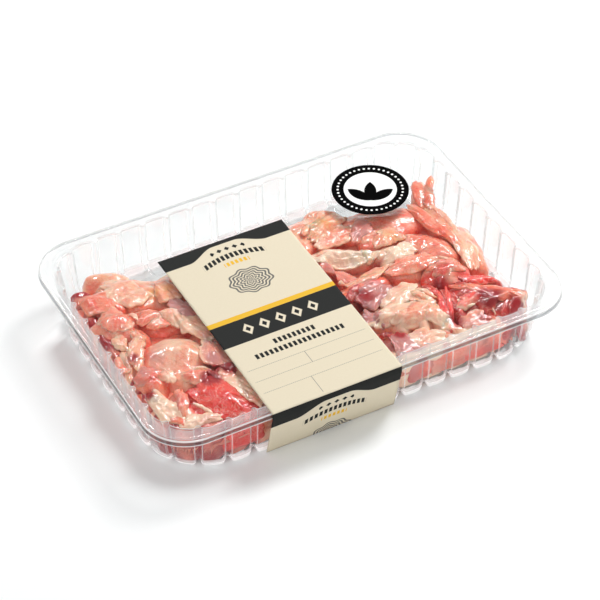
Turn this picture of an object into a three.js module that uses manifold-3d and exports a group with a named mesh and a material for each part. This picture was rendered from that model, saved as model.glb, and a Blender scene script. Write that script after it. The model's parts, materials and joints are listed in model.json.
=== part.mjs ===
// A sealed tray pack of raw chicken thigh fillets, in millimetres, +Z up.
// The origin lies under the middle of the pack, on the surface that it stands on.
// The long side of the tray runs along X and the labelled front looks along -Y.
import * as THREE from 'three';
import { mergeVertices } from 'three/addons/utils/BufferGeometryUtils.js';
import Module from 'manifold-3d';

const wasm = await Module();
wasm.setup();

// Driving dimensions of the thermoformed tray
const TRAY_LENGTH = 230;
const TRAY_WIDTH = 161;
const FLANGE_TOP = 31;
const SHEET = 0.6;
const FLANGE_WIDTH = 8;
const FLANGE_CORNER = 23.4;
const WALL_CORNER = 23.3;
const BASE_CORNER = 34;
const LIP_DROP = 3;
const LIP_FLARE = 0.7;
const LIP_ROUNDING = 0.5;

// The wall is folded into broad panels that stand out between narrow grooves
const FLUTE_PITCH = 13.6;
const GROOVE_HALF_WIDTH = 1.9;
const GROOVE_DEPTH = 1.8;
const PANEL_CROWN = 0.35;
const FLUTE_PHASE = { right: 8.5, back: 2.6, left: 7.5, front: 3.9 };
const WALL_DRAFT = 1.2;
const WALL_CORNER_GROWTH = 4;
const WALL_FOOT_HEIGHT = 6.5;
const NOTCH_HEIGHT = 3.4;
const FOOT_ROUNDING = 1.4;
const FOOT_HEEL = 1.4;
const FOOT_HEEL_HEIGHT = 1.1;
const FOOT_HEEL_RISE = 0.8;
const FOOT_DEPTH = 7;
const FOOT_CORNER = BASE_CORNER - 6;
const FLOOR_SLOPE = 3;
const FLOOR_CORNER = BASE_CORNER - 8;
const FLOOR_HEIGHT = 4.2;

// Film, label and sticker, each a sheet with air of a tenth of a millimetre below it
const AIR = 0.1;
const FILM_THICKNESS = 0.3;
const FILM_INSET = 1;
const PAPER_THICKNESS = 0.3;
const LABEL_LEFT = -58.3;
const LABEL_RIGHT = 12.4;
const LABEL_BACK = 42.3;
const LABEL_FOOT_Y = -75.3;
const LABEL_FOOT_Z = 0.3;
const LABEL_FOLD = 0.6;
const LABEL_CLEARANCE = 0.4;
const LABEL_KNEE_DROP = 0.3;
const STICKER_RADIUS = 20.2;
const STICKER_AT = [64.6, 41.8];

// Meat: the air between two pieces, and the room that the tray leaves for them
const MEAT_GAP = 0.3;
const ROOM_INSET = 10;
const ROOM_CORNER = 32;
const ROOM_FLOOR = FLOOR_HEIGHT + 0.4;
const ROOM_TOP = FLANGE_TOP - 0.3;
const HEART_HEIGHT = 11;
const PLUMPNESS = 1.26;
const MUSCLE_SIDES = 8;
const MUSCLE_RINGS = 5;
const BLUNTNESS = 0.55;
const TWIST = 0.08;
const THREE_LOBES = 0.06;
const CREST = 0.05;
const SWAY = 0.06;
const FIRST_SEED = 101;
const SEED_STEP = 17;

const FILM_BOTTOM = FLANGE_TOP + AIR;
const FILM_TOP = FILM_BOTTOM + FILM_THICKNESS;
const PRINT_BOTTOM = FILM_TOP + AIR;
const PRINT_TOP = PRINT_BOTTOM + PAPER_THICKNESS;

// Signed distance from a point to a rounded rectangle that lies inset from the flange's edge
function distanceToOutline(x, y, inset, corner) {
  const qx = Math.abs(x) - (TRAY_LENGTH / 2 - inset - corner);
  const qy = Math.abs(y) - (TRAY_WIDTH / 2 - inset - corner);
  const outside = Math.hypot(Math.max(qx, 0), Math.max(qy, 0));
  return outside + Math.min(Math.max(qx, qy), 0) - corner;
}

// The line of the groove bottoms: four straight runs and four quarter circles.
// It is walked anticlockwise from the middle of the right side.
const RUN_X = TRAY_LENGTH / 2 - FLANGE_WIDTH - WALL_CORNER;
const RUN_Y = TRAY_WIDTH / 2 - FLANGE_WIDTH - WALL_CORNER;
const ARC = (Math.PI / 2) * WALL_CORNER;
const BACK_MIDDLE = RUN_Y + ARC + RUN_X;
const LEFT_MIDDLE = BACK_MIDDLE + RUN_X + ARC + RUN_Y;
const FRONT_MIDDLE = LEFT_MIDDLE + RUN_Y + ARC + RUN_X;
const WALL_LINE = 2 * LEFT_MIDDLE;

// Point and outward direction at a distance along the wall line
function wallPoint(along) {
  const half = WALL_LINE / 2;
  const turned = along >= half;
  const s = turned ? along - half : along;
  const sign = turned ? -1 : 1;
  if (s <= RUN_Y) {
    return wallFrame(sign, RUN_X + WALL_CORNER, s, 1, 0);
  }
  if (s <= RUN_Y + ARC) {
    const angle = (s - RUN_Y) / WALL_CORNER;
    return wallArc(sign, RUN_X, RUN_Y, angle);
  }
  if (s <= RUN_Y + ARC + 2 * RUN_X) {
    return wallFrame(sign, BACK_MIDDLE - s, RUN_Y + WALL_CORNER, 0, 1);
  }
  if (s <= RUN_Y + 2 * ARC + 2 * RUN_X) {
    const angle = Math.PI / 2 + (s - RUN_Y - ARC - 2 * RUN_X) / WALL_CORNER;
    return wallArc(sign, -RUN_X, RUN_Y, angle);
  }
  return wallFrame(sign, -RUN_X - WALL_CORNER, LEFT_MIDDLE - s, -1, 0);
}

function wallFrame(sign, x, y, nx, ny) {
  return { x: sign * x, y: sign * y, nx: sign * nx, ny: sign * ny };
}

function wallArc(sign, cx, cy, angle) {
  const nx = Math.cos(angle);
  const ny = Math.sin(angle);
  return wallFrame(sign, cx + WALL_CORNER * nx, cy + WALL_CORNER * ny, nx, ny);
}

// Grooves stand at the pitch along each side, and share out what is left round the corners
function groovePositions() {
  const sides = [
    { middle: 0, run: RUN_Y, phase: FLUTE_PHASE.right },
    { middle: BACK_MIDDLE, run: RUN_X, phase: -FLUTE_PHASE.back },
    { middle: LEFT_MIDDLE, run: RUN_Y, phase: -FLUTE_PHASE.left },
    { middle: FRONT_MIDDLE, run: RUN_X, phase: FLUTE_PHASE.front },
  ];
  const onSides = [];
  for (const side of sides) {
    const first = Math.ceil((-side.run - side.phase) / FLUTE_PITCH);
    const last = Math.floor((side.run - side.phase) / FLUTE_PITCH);
    for (let i = first; i <= last; i += 1) {
      onSides.push(side.middle + side.phase + i * FLUTE_PITCH);
    }
  }
  const all = [];
  onSides.forEach((start, i) => {
    const end = i + 1 < onSides.length ? onSides[i + 1] : onSides[0] + WALL_LINE;
    const parts = Math.max(1, Math.round((end - start) / FLUTE_PITCH));
    for (let k = 0; k < parts; k += 1) {
      all.push(start + ((end - start) * k) / parts);
    }
  });
  return all;
}

// Columns of the tray's skin: the groove's bottom, then three across the panel beside it.
// bulge is how far the panel stands out, notch is 1 between two feet and round 1 at the
// two sides of a foot.
function trayColumns() {
  const grooves = groovePositions();
  const columns = [];
  grooves.forEach((start, i) => {
    const end = i + 1 < grooves.length ? grooves[i + 1] : grooves[0] + WALL_LINE;
    const panel = end - start - 2 * GROOVE_HALF_WIDTH;
    const add = (offset, bulge, notch, round) => {
      const along = (start + offset + WALL_LINE) % WALL_LINE;
      columns.push({ ...wallPoint(along), bulge, notch, round });
    };
    const crown = GROOVE_DEPTH + PANEL_CROWN;
    add(0, 0, 1, 0);
    add(GROOVE_HALF_WIDTH, GROOVE_DEPTH, 0, 1);
    add(GROOVE_HALF_WIDTH + panel / 2, crown, 0, 0);
    add(GROOVE_HALF_WIDTH + panel, GROOVE_DEPTH, 0, 1);
  });
  return columns;
}

// Steps that slide a column in or out until it lies on a ring's outline
const PROJECTION_STEPS = 12;

// One ring of the tray's skin. fluted says how much of the bulge it takes, footed how much
// it rises at a notch, and rounded how much it rises at the sides of a foot.
function trayRing(columns, { inset, corner, z, fluted, footed, rounded }) {
  return columns.map(({ x, y, nx, ny, bulge, notch, round }) => {
    let out = 0;
    for (let step = 0; step < PROJECTION_STEPS; step += 1) {
      out -= distanceToOutline(x + nx * out, y + ny * out, inset, corner);
    }
    out += bulge * fluted;
    const rise = NOTCH_HEIGHT * notch * footed + FOOT_ROUNDING * round * rounded;
    return [x + nx * out, y + ny * out, z + rise];
  });
}

function ring(inset, corner, z, fluted = 0, footed = 0, rounded = 0) {
  return { inset, corner, z, fluted, footed, rounded };
}

function trayGeometry() {
  const columns = trayColumns();
  const lipFoot = FLANGE_TOP - LIP_DROP;
  const wallFoot = FLANGE_WIDTH + WALL_DRAFT;
  const wallFootCorner = WALL_CORNER + WALL_CORNER_GROWTH;
  const footInset = wallFoot - 1;
  const footEnd = footInset + FOOT_DEPTH;
  const floorEdge = footEnd + FLOOR_SLOPE;
  const roundCorner = FLANGE_CORNER - LIP_ROUNDING;
  const upper = [
    ring(-LIP_FLARE, FLANGE_CORNER + LIP_FLARE, lipFoot),
    ring(-0.1, FLANGE_CORNER, FLANGE_TOP - LIP_ROUNDING),
    ring(LIP_ROUNDING, roundCorner, FLANGE_TOP),
    ring(FLANGE_WIDTH, WALL_CORNER, FLANGE_TOP, 1),
    ring(wallFoot, wallFootCorner, WALL_FOOT_HEIGHT, 1),
    ring(footInset + FOOT_HEEL + 0.2, BASE_CORNER, SHEET, 1, 1),
    ring(footEnd, FOOT_CORNER, SHEET, 0, 1),
    ring(floorEdge, FLOOR_CORNER, FLOOR_HEIGHT),
  ];
  const lower = [
    ring(-LIP_FLARE + SHEET, FLANGE_CORNER + LIP_FLARE - SHEET, lipFoot),
    ring(LIP_ROUNDING, roundCorner, FLANGE_TOP - SHEET - 0.2),
    ring(FLANGE_WIDTH - SHEET, WALL_CORNER, FLANGE_TOP - SHEET, 1),
    ring(wallFoot - SHEET, wallFootCorner, WALL_FOOT_HEIGHT, 1),
    ring(footInset + FOOT_HEEL - 1, BASE_CORNER, FOOT_HEEL_HEIGHT, 1, FOOT_HEEL_RISE, 1),
    ring(footInset + FOOT_HEEL, BASE_CORNER, 0, 1, 1),
    ring(footEnd, FOOT_CORNER, 0, 0, 1),
    ring(floorEdge, FLOOR_CORNER, FLOOR_HEIGHT - SHEET),
  ];
  const rings = [...lower.reverse(), ...upper].map((row) => trayRing(columns, row));
  const points = rings.flat();
  const faces = [];
  const count = columns.length;
  for (let row = 0; row + 1 < rings.length; row += 1) {
    for (let i = 0; i < count; i += 1) {
      const next = (i + 1) % count;
      const a = row * count + i;
      const b = row * count + next;
      faces.push([a, b, b + count], [a, b + count, a + count]);
    }
  }
  closeWithFan(points, faces, 0, count, FLOOR_HEIGHT - SHEET, true);
  closeWithFan(points, faces, (rings.length - 1) * count, count, FLOOR_HEIGHT, false);
  return meshGeometry(points, faces);
}

// Closes a ring of points with a flat fan about the tray's middle
function closeWithFan(points, faces, first, count, z, facesDown) {
  const centre = points.length;
  points.push([0, 0, z]);
  for (let i = 0; i < count; i += 1) {
    const a = first + i;
    const b = first + ((i + 1) % count);
    faces.push(facesDown ? [centre, b, a] : [centre, a, b]);
  }
}

function meshGeometry(points, faces) {
  const geometry = new THREE.BufferGeometry();
  geometry.setAttribute('position', new THREE.Float32BufferAttribute(points.flat(), 3));
  geometry.setIndex(faces.flat());
  geometry.computeVertexNormals();
  return geometry;
}

function roundedRectangle(inset, corner) {
  const x = TRAY_LENGTH / 2 - inset;
  const y = TRAY_WIDTH / 2 - inset;
  const shape = new THREE.Shape();
  shape.moveTo(x, -y + corner);
  shape.lineTo(x, y - corner);
  shape.absarc(x - corner, y - corner, corner, 0, Math.PI / 2);
  shape.lineTo(-x + corner, y);
  shape.absarc(-x + corner, y - corner, corner, Math.PI / 2, Math.PI);
  shape.lineTo(-x, -y + corner);
  shape.absarc(-x + corner, -y + corner, corner, Math.PI, 1.5 * Math.PI);
  shape.lineTo(x - corner, -y);
  shape.absarc(x - corner, -y + corner, corner, 1.5 * Math.PI, 2 * Math.PI);
  return shape;
}

function plate(shape, bottom, thickness, curveSegments) {
  const options = { depth: thickness, bevelEnabled: false, curveSegments };
  return new THREE.ExtrudeGeometry(shape, options).translate(0, 0, bottom);
}

function filmGeometry() {
  const outline = roundedRectangle(FILM_INSET, FLANGE_CORNER - FILM_INSET);
  return plate(outline, FILM_BOTTOM, FILM_THICKNESS, 8);
}

// The label lies on the film, folds over the lip at the front and slants in to the base.
// Its section is drawn in the YZ plane: the face towards the pack, then the face outwards.
function labelGeometry() {
  const lipY = -TRAY_WIDTH / 2 - LIP_FLARE;
  const kneeY = lipY - LABEL_CLEARANCE;
  const kneeZ = FLANGE_TOP - LIP_DROP - LABEL_KNEE_DROP;
  const foldY = lipY - LABEL_CLEARANCE / 2;
  const inner = [
    [LABEL_BACK, PRINT_BOTTOM],
    [lipY + LABEL_FOLD - 0.1, PRINT_BOTTOM],
    [foldY, PRINT_BOTTOM - LABEL_FOLD - 0.1],
    [kneeY, kneeZ],
    [LABEL_FOOT_Y + PAPER_THICKNESS, LABEL_FOOT_Z],
  ];
  const outer = [
    [LABEL_FOOT_Y, LABEL_FOOT_Z],
    [kneeY - PAPER_THICKNESS, kneeZ],
    [foldY - PAPER_THICKNESS, PRINT_BOTTOM - LABEL_FOLD],
    [lipY + LABEL_FOLD - 0.2, PRINT_TOP],
    [LABEL_BACK, PRINT_TOP],
  ];
  const shape = new THREE.Shape([...inner, ...outer].map(([y, z]) => new THREE.Vector2(y, z)));
  const options = { depth: LABEL_RIGHT - LABEL_LEFT, bevelEnabled: false };
  const geometry = new THREE.ExtrudeGeometry(shape, options);
  const lying = new THREE.Matrix4().makeBasis(
    new THREE.Vector3(0, 1, 0),
    new THREE.Vector3(0, 0, 1),
    new THREE.Vector3(1, 0, 0),
  );
  return geometry.applyMatrix4(lying).translate(LABEL_LEFT, 0, 0);
}

function stickerGeometry() {
  const disc = new THREE.Shape().absarc(0, 0, STICKER_RADIUS, 0, 2 * Math.PI);
  return plate(disc, PRINT_BOTTOM, PAPER_THICKNESS, 20).translate(...STICKER_AT, 0);
}

function seededRandom(seed) {
  let state = seed;
  return () => {
    state = (state * 1664525 + 1013904223) % 4294967296;
    return state / 4294967296;
  };
}

// A muscle or a strip of fat: a blunt spindle from one end to the other. top is how high
// its back reaches, wide and thick are its section, and bow bends it sideways. Without a
// thickness it is widest at the heart height and stands on the floor of the tray. It is
// plumper than the back that shows of it, so that neighbours press on each other.
function muscle(from, to, { wide, top, thick = 2 * (top - HEART_HEIGHT), bow = 0 }) {
  return { from, to, wide, top, thick, bow };
}

function muscleMesh({ from, to, wide, top, thick, bow }, seed, grow) {
  const random = seededRandom(seed);
  const turns = [random(), random(), random()].map((part) => part * 2 * Math.PI);
  const start = new THREE.Vector3(from[0], from[1], top - thick / 2);
  const end = new THREE.Vector3(to[0], to[1], top - thick / 2);
  const along = end.clone().sub(start).normalize();
  const side = new THREE.Vector3(-along.y, along.x, 0);
  const points = [];
  const faces = [];
  points.push(start.clone().addScaledVector(along, -grow).toArray());
  for (let ringIndex = 1; ringIndex < MUSCLE_RINGS; ringIndex += 1) {
    const turn = (Math.PI * ringIndex) / MUSCLE_RINGS;
    const u = (1 - Math.cos(turn)) / 2;
    const swell = Math.sin(turn) ** BLUNTNESS;
    for (let i = 0; i < MUSCLE_SIDES; i += 1) {
      const angle = (2 * Math.PI * i) / MUSCLE_SIDES;
      const twist = Math.sin(2 * angle + turns[0] + 4 * u);
      const lump = 1 + TWIST * twist + THREE_LOBES * Math.sin(3 * angle + turns[1]);
      const crest = 1 + CREST * Math.sin(turns[1] + 7 * u);
      const across = Math.cos(angle) * ((PLUMPNESS * wide * swell * lump) / 2 + grow);
      const rise = Math.sin(angle) * ((thick * swell * crest) / 2 + grow);
      const sway = bow * 4 * u * (1 - u) + wide * SWAY * Math.sin(turns[2] + 5 * u);
      const point = start.clone().lerp(end, u).addScaledVector(side, across + sway);
      points.push([point.x, point.y, point.z + rise]);
    }
  }
  points.push(end.clone().addScaledVector(along, grow).toArray());
  const last = points.length - 1;
  for (let i = 0; i < MUSCLE_SIDES; i += 1) {
    const next = (i + 1) % MUSCLE_SIDES;
    faces.push([0, 1 + next, 1 + i]);
    for (let ringIndex = 0; ringIndex + 2 < MUSCLE_RINGS; ringIndex += 1) {
      const a = 1 + ringIndex * MUSCLE_SIDES;
      const b = a + MUSCLE_SIDES;
      faces.push([a + i, a + next, b + next], [a + i, b + next, b + i]);
    }
    const a = last - MUSCLE_SIDES;
    faces.push([a + i, a + next, last]);
  }
  return { points, faces };
}

function solidFromMesh({ points, faces }) {
  return new wasm.Manifold(new wasm.Mesh({
    numProp: 3,
    vertProperties: new Float32Array(points.flat()),
    triVerts: new Uint32Array(faces.flat()),
  }));
}

function solidFromGeometry(geometry) {
  const bare = geometry.clone();
  bare.deleteAttribute('normal');
  bare.deleteAttribute('uv');
  const merged = mergeVertices(bare, 1e-4);
  return new wasm.Manifold(new wasm.Mesh({
    numProp: 3,
    vertProperties: new Float32Array(merged.attributes.position.array),
    triVerts: new Uint32Array(merged.index.array),
  }));
}

function geometryFromSolid(solid) {
  const { vertProperties, triVerts } = solid.getMesh();
  const geometry = new THREE.BufferGeometry();
  geometry.setAttribute('position', new THREE.BufferAttribute(vertProperties, 3));
  geometry.setIndex(new THREE.BufferAttribute(triVerts, 1));
  geometry.computeVertexNormals();
  return geometry;
}

function filletSolid(fillet, seed, grow) {
  const solids = fillet.muscles.map((item, i) => solidFromMesh(muscleMesh(item, seed + i, grow)));
  return solids.reduce((sum, solid) => sum.add(solid));
}

function largestPiece(solid) {
  return solid.decompose().sort((a, b) => b.volume() - a.volume())[0];
}

// Colours of the meat
const PEACH = 0xe9a48f;
const SALMON = 0xdd8a80;
const PINK = 0xe49a94;
const DEEP_RED = 0xb53a3a;
const RED = 0xd2605c;
const CREAM = 0xeccbb4;

// The fillets, from the ones that lie on top to the ones that they press on.
// Those at the left of the label come first, then those at its right, then the hidden ones.
const FILLETS = [
  { name: 'fillet_left_dome', colour: PEACH, muscles: [
    muscle([-94, -8], [-60, -26], { wide: 30, top: 29.6 }),
    muscle([-89, -28], [-64, -45], { wide: 17, top: 29.2 }),
  ] },
  { name: 'fillet_front_left_red', colour: RED, muscles: [
    muscle([-84, -36], [-59, -74], { wide: 23, top: 29.4 }),
    muscle([-91, -37], [-89, -64], { wide: 13, top: 27.5 }),
    muscle([-102, -53], [-66, -70], { wide: 20, top: 24.5 }),
  ] },
  { name: 'fillet_left_brown', colour: SALMON, muscles: [
    muscle([-108, -25], [-87, -33], { wide: 16, top: 28 }),
    muscle([-103, -33], [-97, -56], { wide: 15, top: 26 }),
  ] },
  { name: 'fillet_left_curl', colour: PEACH, muscles: [
    muscle([-99, 3], [-106, -25], { wide: 8, top: 27.5, bow: 2 }),
    muscle([-88, 7], [-98, -24], { wide: 7, top: 29.4, bow: -2 }),
    muscle([-97, 6], [-95, -22], { wide: 16, top: 19 }),
  ] },
  { name: 'fillet_left_fibrous', colour: PINK, muscles: [
    muscle([-108, 24], [-81, 12], { wide: 22, top: 28.2 }),
    muscle([-98, 14], [-82, 1], { wide: 14, top: 27.4 }),
  ] },
  { name: 'fillet_left_salmon', colour: SALMON, muscles: [
    muscle([-107, 44], [-81, 27], { wide: 21, top: 27.6 }),
  ] },
  { name: 'fillet_left_pink', colour: PINK, muscles: [
    muscle([-84, 25], [-68, 2], { wide: 18, top: 27 }),
    muscle([-73, 16], [-48, 5], { wide: 19, top: 26.4 }),
  ] },
  { name: 'fillet_back_left', colour: PEACH, muscles: [
    muscle([-92, 51], [-54, 23], { wide: 27, top: 26 }),
    muscle([-93, 61], [-70, 50], { wide: 14, top: 23 }),
    muscle([-66, 38], [-36, 24], { wide: 24, top: 26.4 }),
  ] },
  { name: 'fillet_label_left', colour: CREAM, muscles: [
    muscle([-58, 4], [-50, -72], { wide: 27, top: 27.8, bow: 3 }),
    muscle([-69, -39], [-53, -43], { wide: 11, top: 29.4, thick: 13 }),
  ] },
  { name: 'fillet_right_oval', colour: PINK, muscles: [
    muscle([65, 13], [81, -22], { wide: 20, top: 29.2 }),
  ] },
  { name: 'fillet_right_red', colour: RED, muscles: [
    muscle([57, -21], [83, -33], { wide: 20, top: 29.8 }),
  ] },
  { name: 'fillet_ridged_skin', colour: CREAM, muscles: [
    muscle([29, -30], [61, -43], { wide: 20, top: 29.4 }),
    muscle([34, -34], [16, -47], { wide: 13, top: 28.6 }),
    muscle([41, -36], [27, -56], { wide: 10, top: 29.2 }),
    muscle([47, -38], [38, -61], { wide: 9, top: 29 }),
    muscle([52, -40], [48, -65], { wide: 9, top: 29.2 }),
  ] },
  { name: 'fillet_dark_strands', colour: DEEP_RED, muscles: [
    muscle([62, -37], [87, -68], { wide: 20, top: 29.6 }),
    muscle([60, -31], [58, -69], { wide: 9, top: 28.8, bow: 2 }),
    muscle([72, -33], [93, -47], { wide: 9, top: 28 }),
    muscle([83, -48], [101, -70], { wide: 17, top: 28.4 }),
  ] },
  { name: 'fillet_label_right', colour: SALMON, muscles: [
    muscle([8, -18], [46, -15], { wide: 17, top: 28 }),
    muscle([-12, -13], [22, -19], { wide: 24, top: 27.4 }),
  ] },
  { name: 'fillet_right_cream', colour: CREAM, muscles: [
    muscle([8, 20], [48, 3], { wide: 12, top: 27.4 }),
    muscle([44, 4], [67, -6], { wide: 16, top: 27.8 }),
    muscle([42, -7], [66, -18], { wide: 15, top: 28.2 }),
  ] },
  { name: 'fillet_right_strip', colour: PEACH, muscles: [
    muscle([90, 38], [85, -31], { wide: 14, top: 26.4, bow: 2 }),
    muscle([98, 10], [90, -31], { wide: 12, top: 24.4 }),
    muscle([88, 30], [98, 48], { wide: 7, top: 23, thick: 9 }),
  ] },
  { name: 'fillet_right_pink', colour: PINK, muscles: [
    muscle([37, 32], [88, 21], { wide: 23, top: 26.4 }),
    muscle([43, 19], [69, 8], { wide: 17, top: 27.4 }),
  ] },
  { name: 'fillet_back_right', colour: PEACH, muscles: [
    muscle([4, 44], [56, 30], { wide: 20, top: 25 }),
    muscle([28, 51], [48, 41], { wide: 11, top: 24.4 }),
    muscle([-8, 40], [26, 26], { wide: 22, top: 26.4 }),
  ] },
  { name: 'fillet_front_right', colour: PINK, muscles: [
    muscle([14, -43], [36, -72], { wide: 20, top: 25.6 }),
    muscle([28, -56], [58, -69], { wide: 16, top: 25.8 }),
    muscle([48, -64], [84, -66], { wide: 15, top: 25.2 }),
  ] },
  { name: 'fillet_middle_back', colour: PINK, muscles: [
    muscle([-46, 40], [2, 12], { wide: 30, top: 26.4 }),
  ] },
  { name: 'fillet_middle', colour: PEACH, muscles: [
    muscle([-30, 8], [-26, -42], { wide: 36, top: 27.4 }),
  ] },
  { name: 'fillet_middle_front', colour: SALMON, muscles: [
    muscle([-44, -52], [24, -60], { wide: 30, top: 27.2 }),
  ] },
];

function addMesh(group, name, geometry, finish) {
  const mesh = new THREE.Mesh(geometry, new THREE.MeshStandardMaterial({ metalness: 0, ...finish }));
  mesh.name = name;
  group.add(mesh);
}

// Each fillet is cut by the ones before it, grown by the gap that stays between them,
// and then kept inside the room that the tray leaves
function addFillets(group) {
  const roomShape = roundedRectangle(ROOM_INSET, ROOM_CORNER);
  const room = solidFromGeometry(plate(roomShape, ROOM_FLOOR, ROOM_TOP - ROOM_FLOOR, 8));
  let taken = null;
  FILLETS.forEach((fillet, i) => {
    const seed = FIRST_SEED + SEED_STEP * i;
    const whole = filletSolid(fillet, seed, 0);
    const kept = largestPiece(room.intersect(taken ? whole.subtract(taken) : whole));
    addMesh(group, fillet.name, geometryFromSolid(kept), { color: fillet.colour, roughness: 0.35 });
    const grown = filletSolid(fillet, seed, MEAT_GAP);
    taken = taken ? taken.add(grown) : grown;
  });
}

const pack = new THREE.Group();
const CLEAR = { transparent: true, opacity: 0.3 };
addMesh(pack, 'tray', trayGeometry(), { color: 0xf2f4f5, roughness: 0.08, ...CLEAR });
addMesh(pack, 'lid_film', filmGeometry(), { color: 0xffffff, roughness: 0.05, ...CLEAR });
addMesh(pack, 'label', labelGeometry(), { color: 0xf0e5cd, roughness: 0.6 });
addMesh(pack, 'round_sticker', stickerGeometry(), { color: 0x1c1a1b, roughness: 0.5 });
addFillets(pack);

export default pack;
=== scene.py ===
# %% [markdown]
# A sealed tray of raw chicken thigh fillets
#
# The object is a pack from a chilled counter: a clear fluted tray, a clear film sealed on its
# flange, a paper label folded over the front edge, a round sticker, and about twenty boned
# thigh fillets pressed against each other. The CAD model gives every piece its size and its
# place. This lesson gives each of them the surface that a shopper sees.
#
# The first cell loads that model as a frame. Every piece made later is a mesh in metres in the
# same frame, so nothing has to be fitted. Sizes are written in millimetres, because that is how
# a tray maker and a butcher would say them, and MM turns them into metres.

# %% Load the frame
import itertools
import json
import math

import bmesh
import bpy
import numpy as np
from mathutils import Matrix, Vector

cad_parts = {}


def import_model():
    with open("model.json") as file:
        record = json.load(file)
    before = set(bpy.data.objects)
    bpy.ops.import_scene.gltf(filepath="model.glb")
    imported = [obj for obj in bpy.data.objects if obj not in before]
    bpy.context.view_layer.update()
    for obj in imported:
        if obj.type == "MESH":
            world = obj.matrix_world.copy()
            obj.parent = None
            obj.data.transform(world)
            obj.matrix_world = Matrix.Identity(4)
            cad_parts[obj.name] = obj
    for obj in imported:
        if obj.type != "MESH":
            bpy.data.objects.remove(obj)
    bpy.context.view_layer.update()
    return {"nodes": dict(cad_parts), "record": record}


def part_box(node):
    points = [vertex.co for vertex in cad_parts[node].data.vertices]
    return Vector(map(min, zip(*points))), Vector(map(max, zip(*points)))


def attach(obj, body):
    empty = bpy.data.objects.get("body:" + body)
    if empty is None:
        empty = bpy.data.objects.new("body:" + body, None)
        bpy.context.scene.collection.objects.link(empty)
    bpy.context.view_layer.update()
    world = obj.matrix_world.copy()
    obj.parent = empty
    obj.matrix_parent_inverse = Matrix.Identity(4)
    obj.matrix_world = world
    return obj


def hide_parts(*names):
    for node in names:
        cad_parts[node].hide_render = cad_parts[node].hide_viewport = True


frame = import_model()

MM = 0.001
NODES = frame["nodes"]
print("CAD nodes:", len(NODES))

# %% [markdown]
# The camera
#
# A pack shot is taken with a long lens from well back, so that the long side hardly narrows.
# A camera can be aimed by a constraint or by hand. Here its three axes are worked out from the
# azimuth and the elevation, because those two angles are what was read from the photograph.

# %% Camera
CAMERA_AZIMUTH = math.radians(28.32)
CAMERA_ELEVATION = math.radians(41.98)
CAMERA_DISTANCE = 1263.7 * MM
CAMERA_TARGET = Vector((-8.2, -16.1, 31)) * MM
FOCAL_LENGTH_IN_PIXELS = 2544
IMAGE_SIZE = 600
SENSOR = 36
FAR_CLIP = 20

forward = Vector((
    math.sin(CAMERA_AZIMUTH) * math.cos(CAMERA_ELEVATION),
    math.cos(CAMERA_AZIMUTH) * math.cos(CAMERA_ELEVATION),
    -math.sin(CAMERA_ELEVATION),
))
image_right = forward.cross(Vector((0, 0, 1))).normalized()
image_up = image_right.cross(forward)
camera_place = CAMERA_TARGET - CAMERA_DISTANCE * forward
camera_turn = Matrix((image_right, image_up, -forward)).transposed().to_4x4()

camera_data = bpy.data.cameras.new("camera")
camera_data.sensor_width = SENSOR
camera_data.lens = FOCAL_LENGTH_IN_PIXELS * SENSOR / IMAGE_SIZE
camera_data.clip_end = FAR_CLIP
camera = bpy.data.objects.new("camera", camera_data)
camera.matrix_world = Matrix.Translation(camera_place) @ camera_turn
bpy.context.scene.collection.objects.link(camera)
bpy.context.scene.camera = camera
print("lens:", round(camera_data.lens, 1), "mm")

# %% [markdown]
# Light
#
# The photograph has a white sweep, broad soft light and one gentle shadow that falls to the
# left and to the front. That asks for one large softbox at the right and a little behind, a
# weaker one over the camera's shoulder, and a pale room. The softboxes stand high: a flat film
# mirrors what lies as far above the horizon as the camera does, and there the room is dim, so
# the film stays clear and only the wet bumps of the meat catch a light. Four small lamps are
# there for that alone: they light nothing, but their mirror image on a wet bump is white.

# %% Lamps
LAMPS = {
    # name: (direction from the pack, distance in metres, width in metres, power in watts)
    "key_softbox": ((0.78, 0.36, 1.05), 1.5, 0.5, 19.5),
    "overhead_softbox": ((-0.25, -0.1, 1.0), 1.6, 0.9, 4.6),
    "shoulder_softbox": ((-0.75, -0.9, 0.75), 1.7, 0.8, 4.5),
    "left_sparkle": ((-0.42, 0.75, 1.15), 1.5, 0.32, 12.0),
    "right_sparkle": ((0.95, 0.15, 0.8), 1.5, 0.32, 12.0),
    "high_sparkle": ((0.12, 0.05, 1.0), 1.5, 0.32, 12.0),
    "far_sparkle": ((0.0, 0.8, 0.8), 1.5, 0.16, 3.0),
}

for name, (direction, distance, width, power) in LAMPS.items():
    lamp_data = bpy.data.lights.new(name, "AREA")
    lamp_data.shape = "SQUARE"
    lamp_data.size = width
    lamp_data.energy = power
    lamp = bpy.data.objects.new(name, lamp_data)
    away = Vector(direction).normalized()
    lamp.location = away * distance
    lamp.rotation_euler = away.to_track_quat("Z", "Y").to_euler()
    lamp.visible_diffuse = "sparkle" not in name
    bpy.context.scene.collection.objects.link(lamp)

bpy.context.scene.view_settings.view_transform = "Standard"
bpy.context.scene.cycles.transparent_max_bounces = 32
print("lamps:", ", ".join(LAMPS))

# %% [markdown]
# Helpers for colours, nodes and meshes
#
# Colours are picked as sRGB hex values, as on a paint card, but a shader mixes light in linear
# values, so one function converts them. A second function adds a node with its settings and
# its links in one call, which keeps a material readable from top to bottom. A third turns
# points in millimetres and faces into an object at the origin.

# %% Helpers
MIX_FACTOR, MIX_A, MIX_B, MIX_RESULT = 0, 6, 7, 2


def linear(hex_colour):
    """Linear red, green, blue and alpha of an sRGB hex colour."""
    parts = [int(hex_colour[i:i + 2], 16) / 255 for i in (0, 2, 4)]
    return [p / 12.92 if p <= 0.04045 else ((p + 0.055) / 1.055) ** 2.4 for p in parts] + [1.0]


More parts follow.
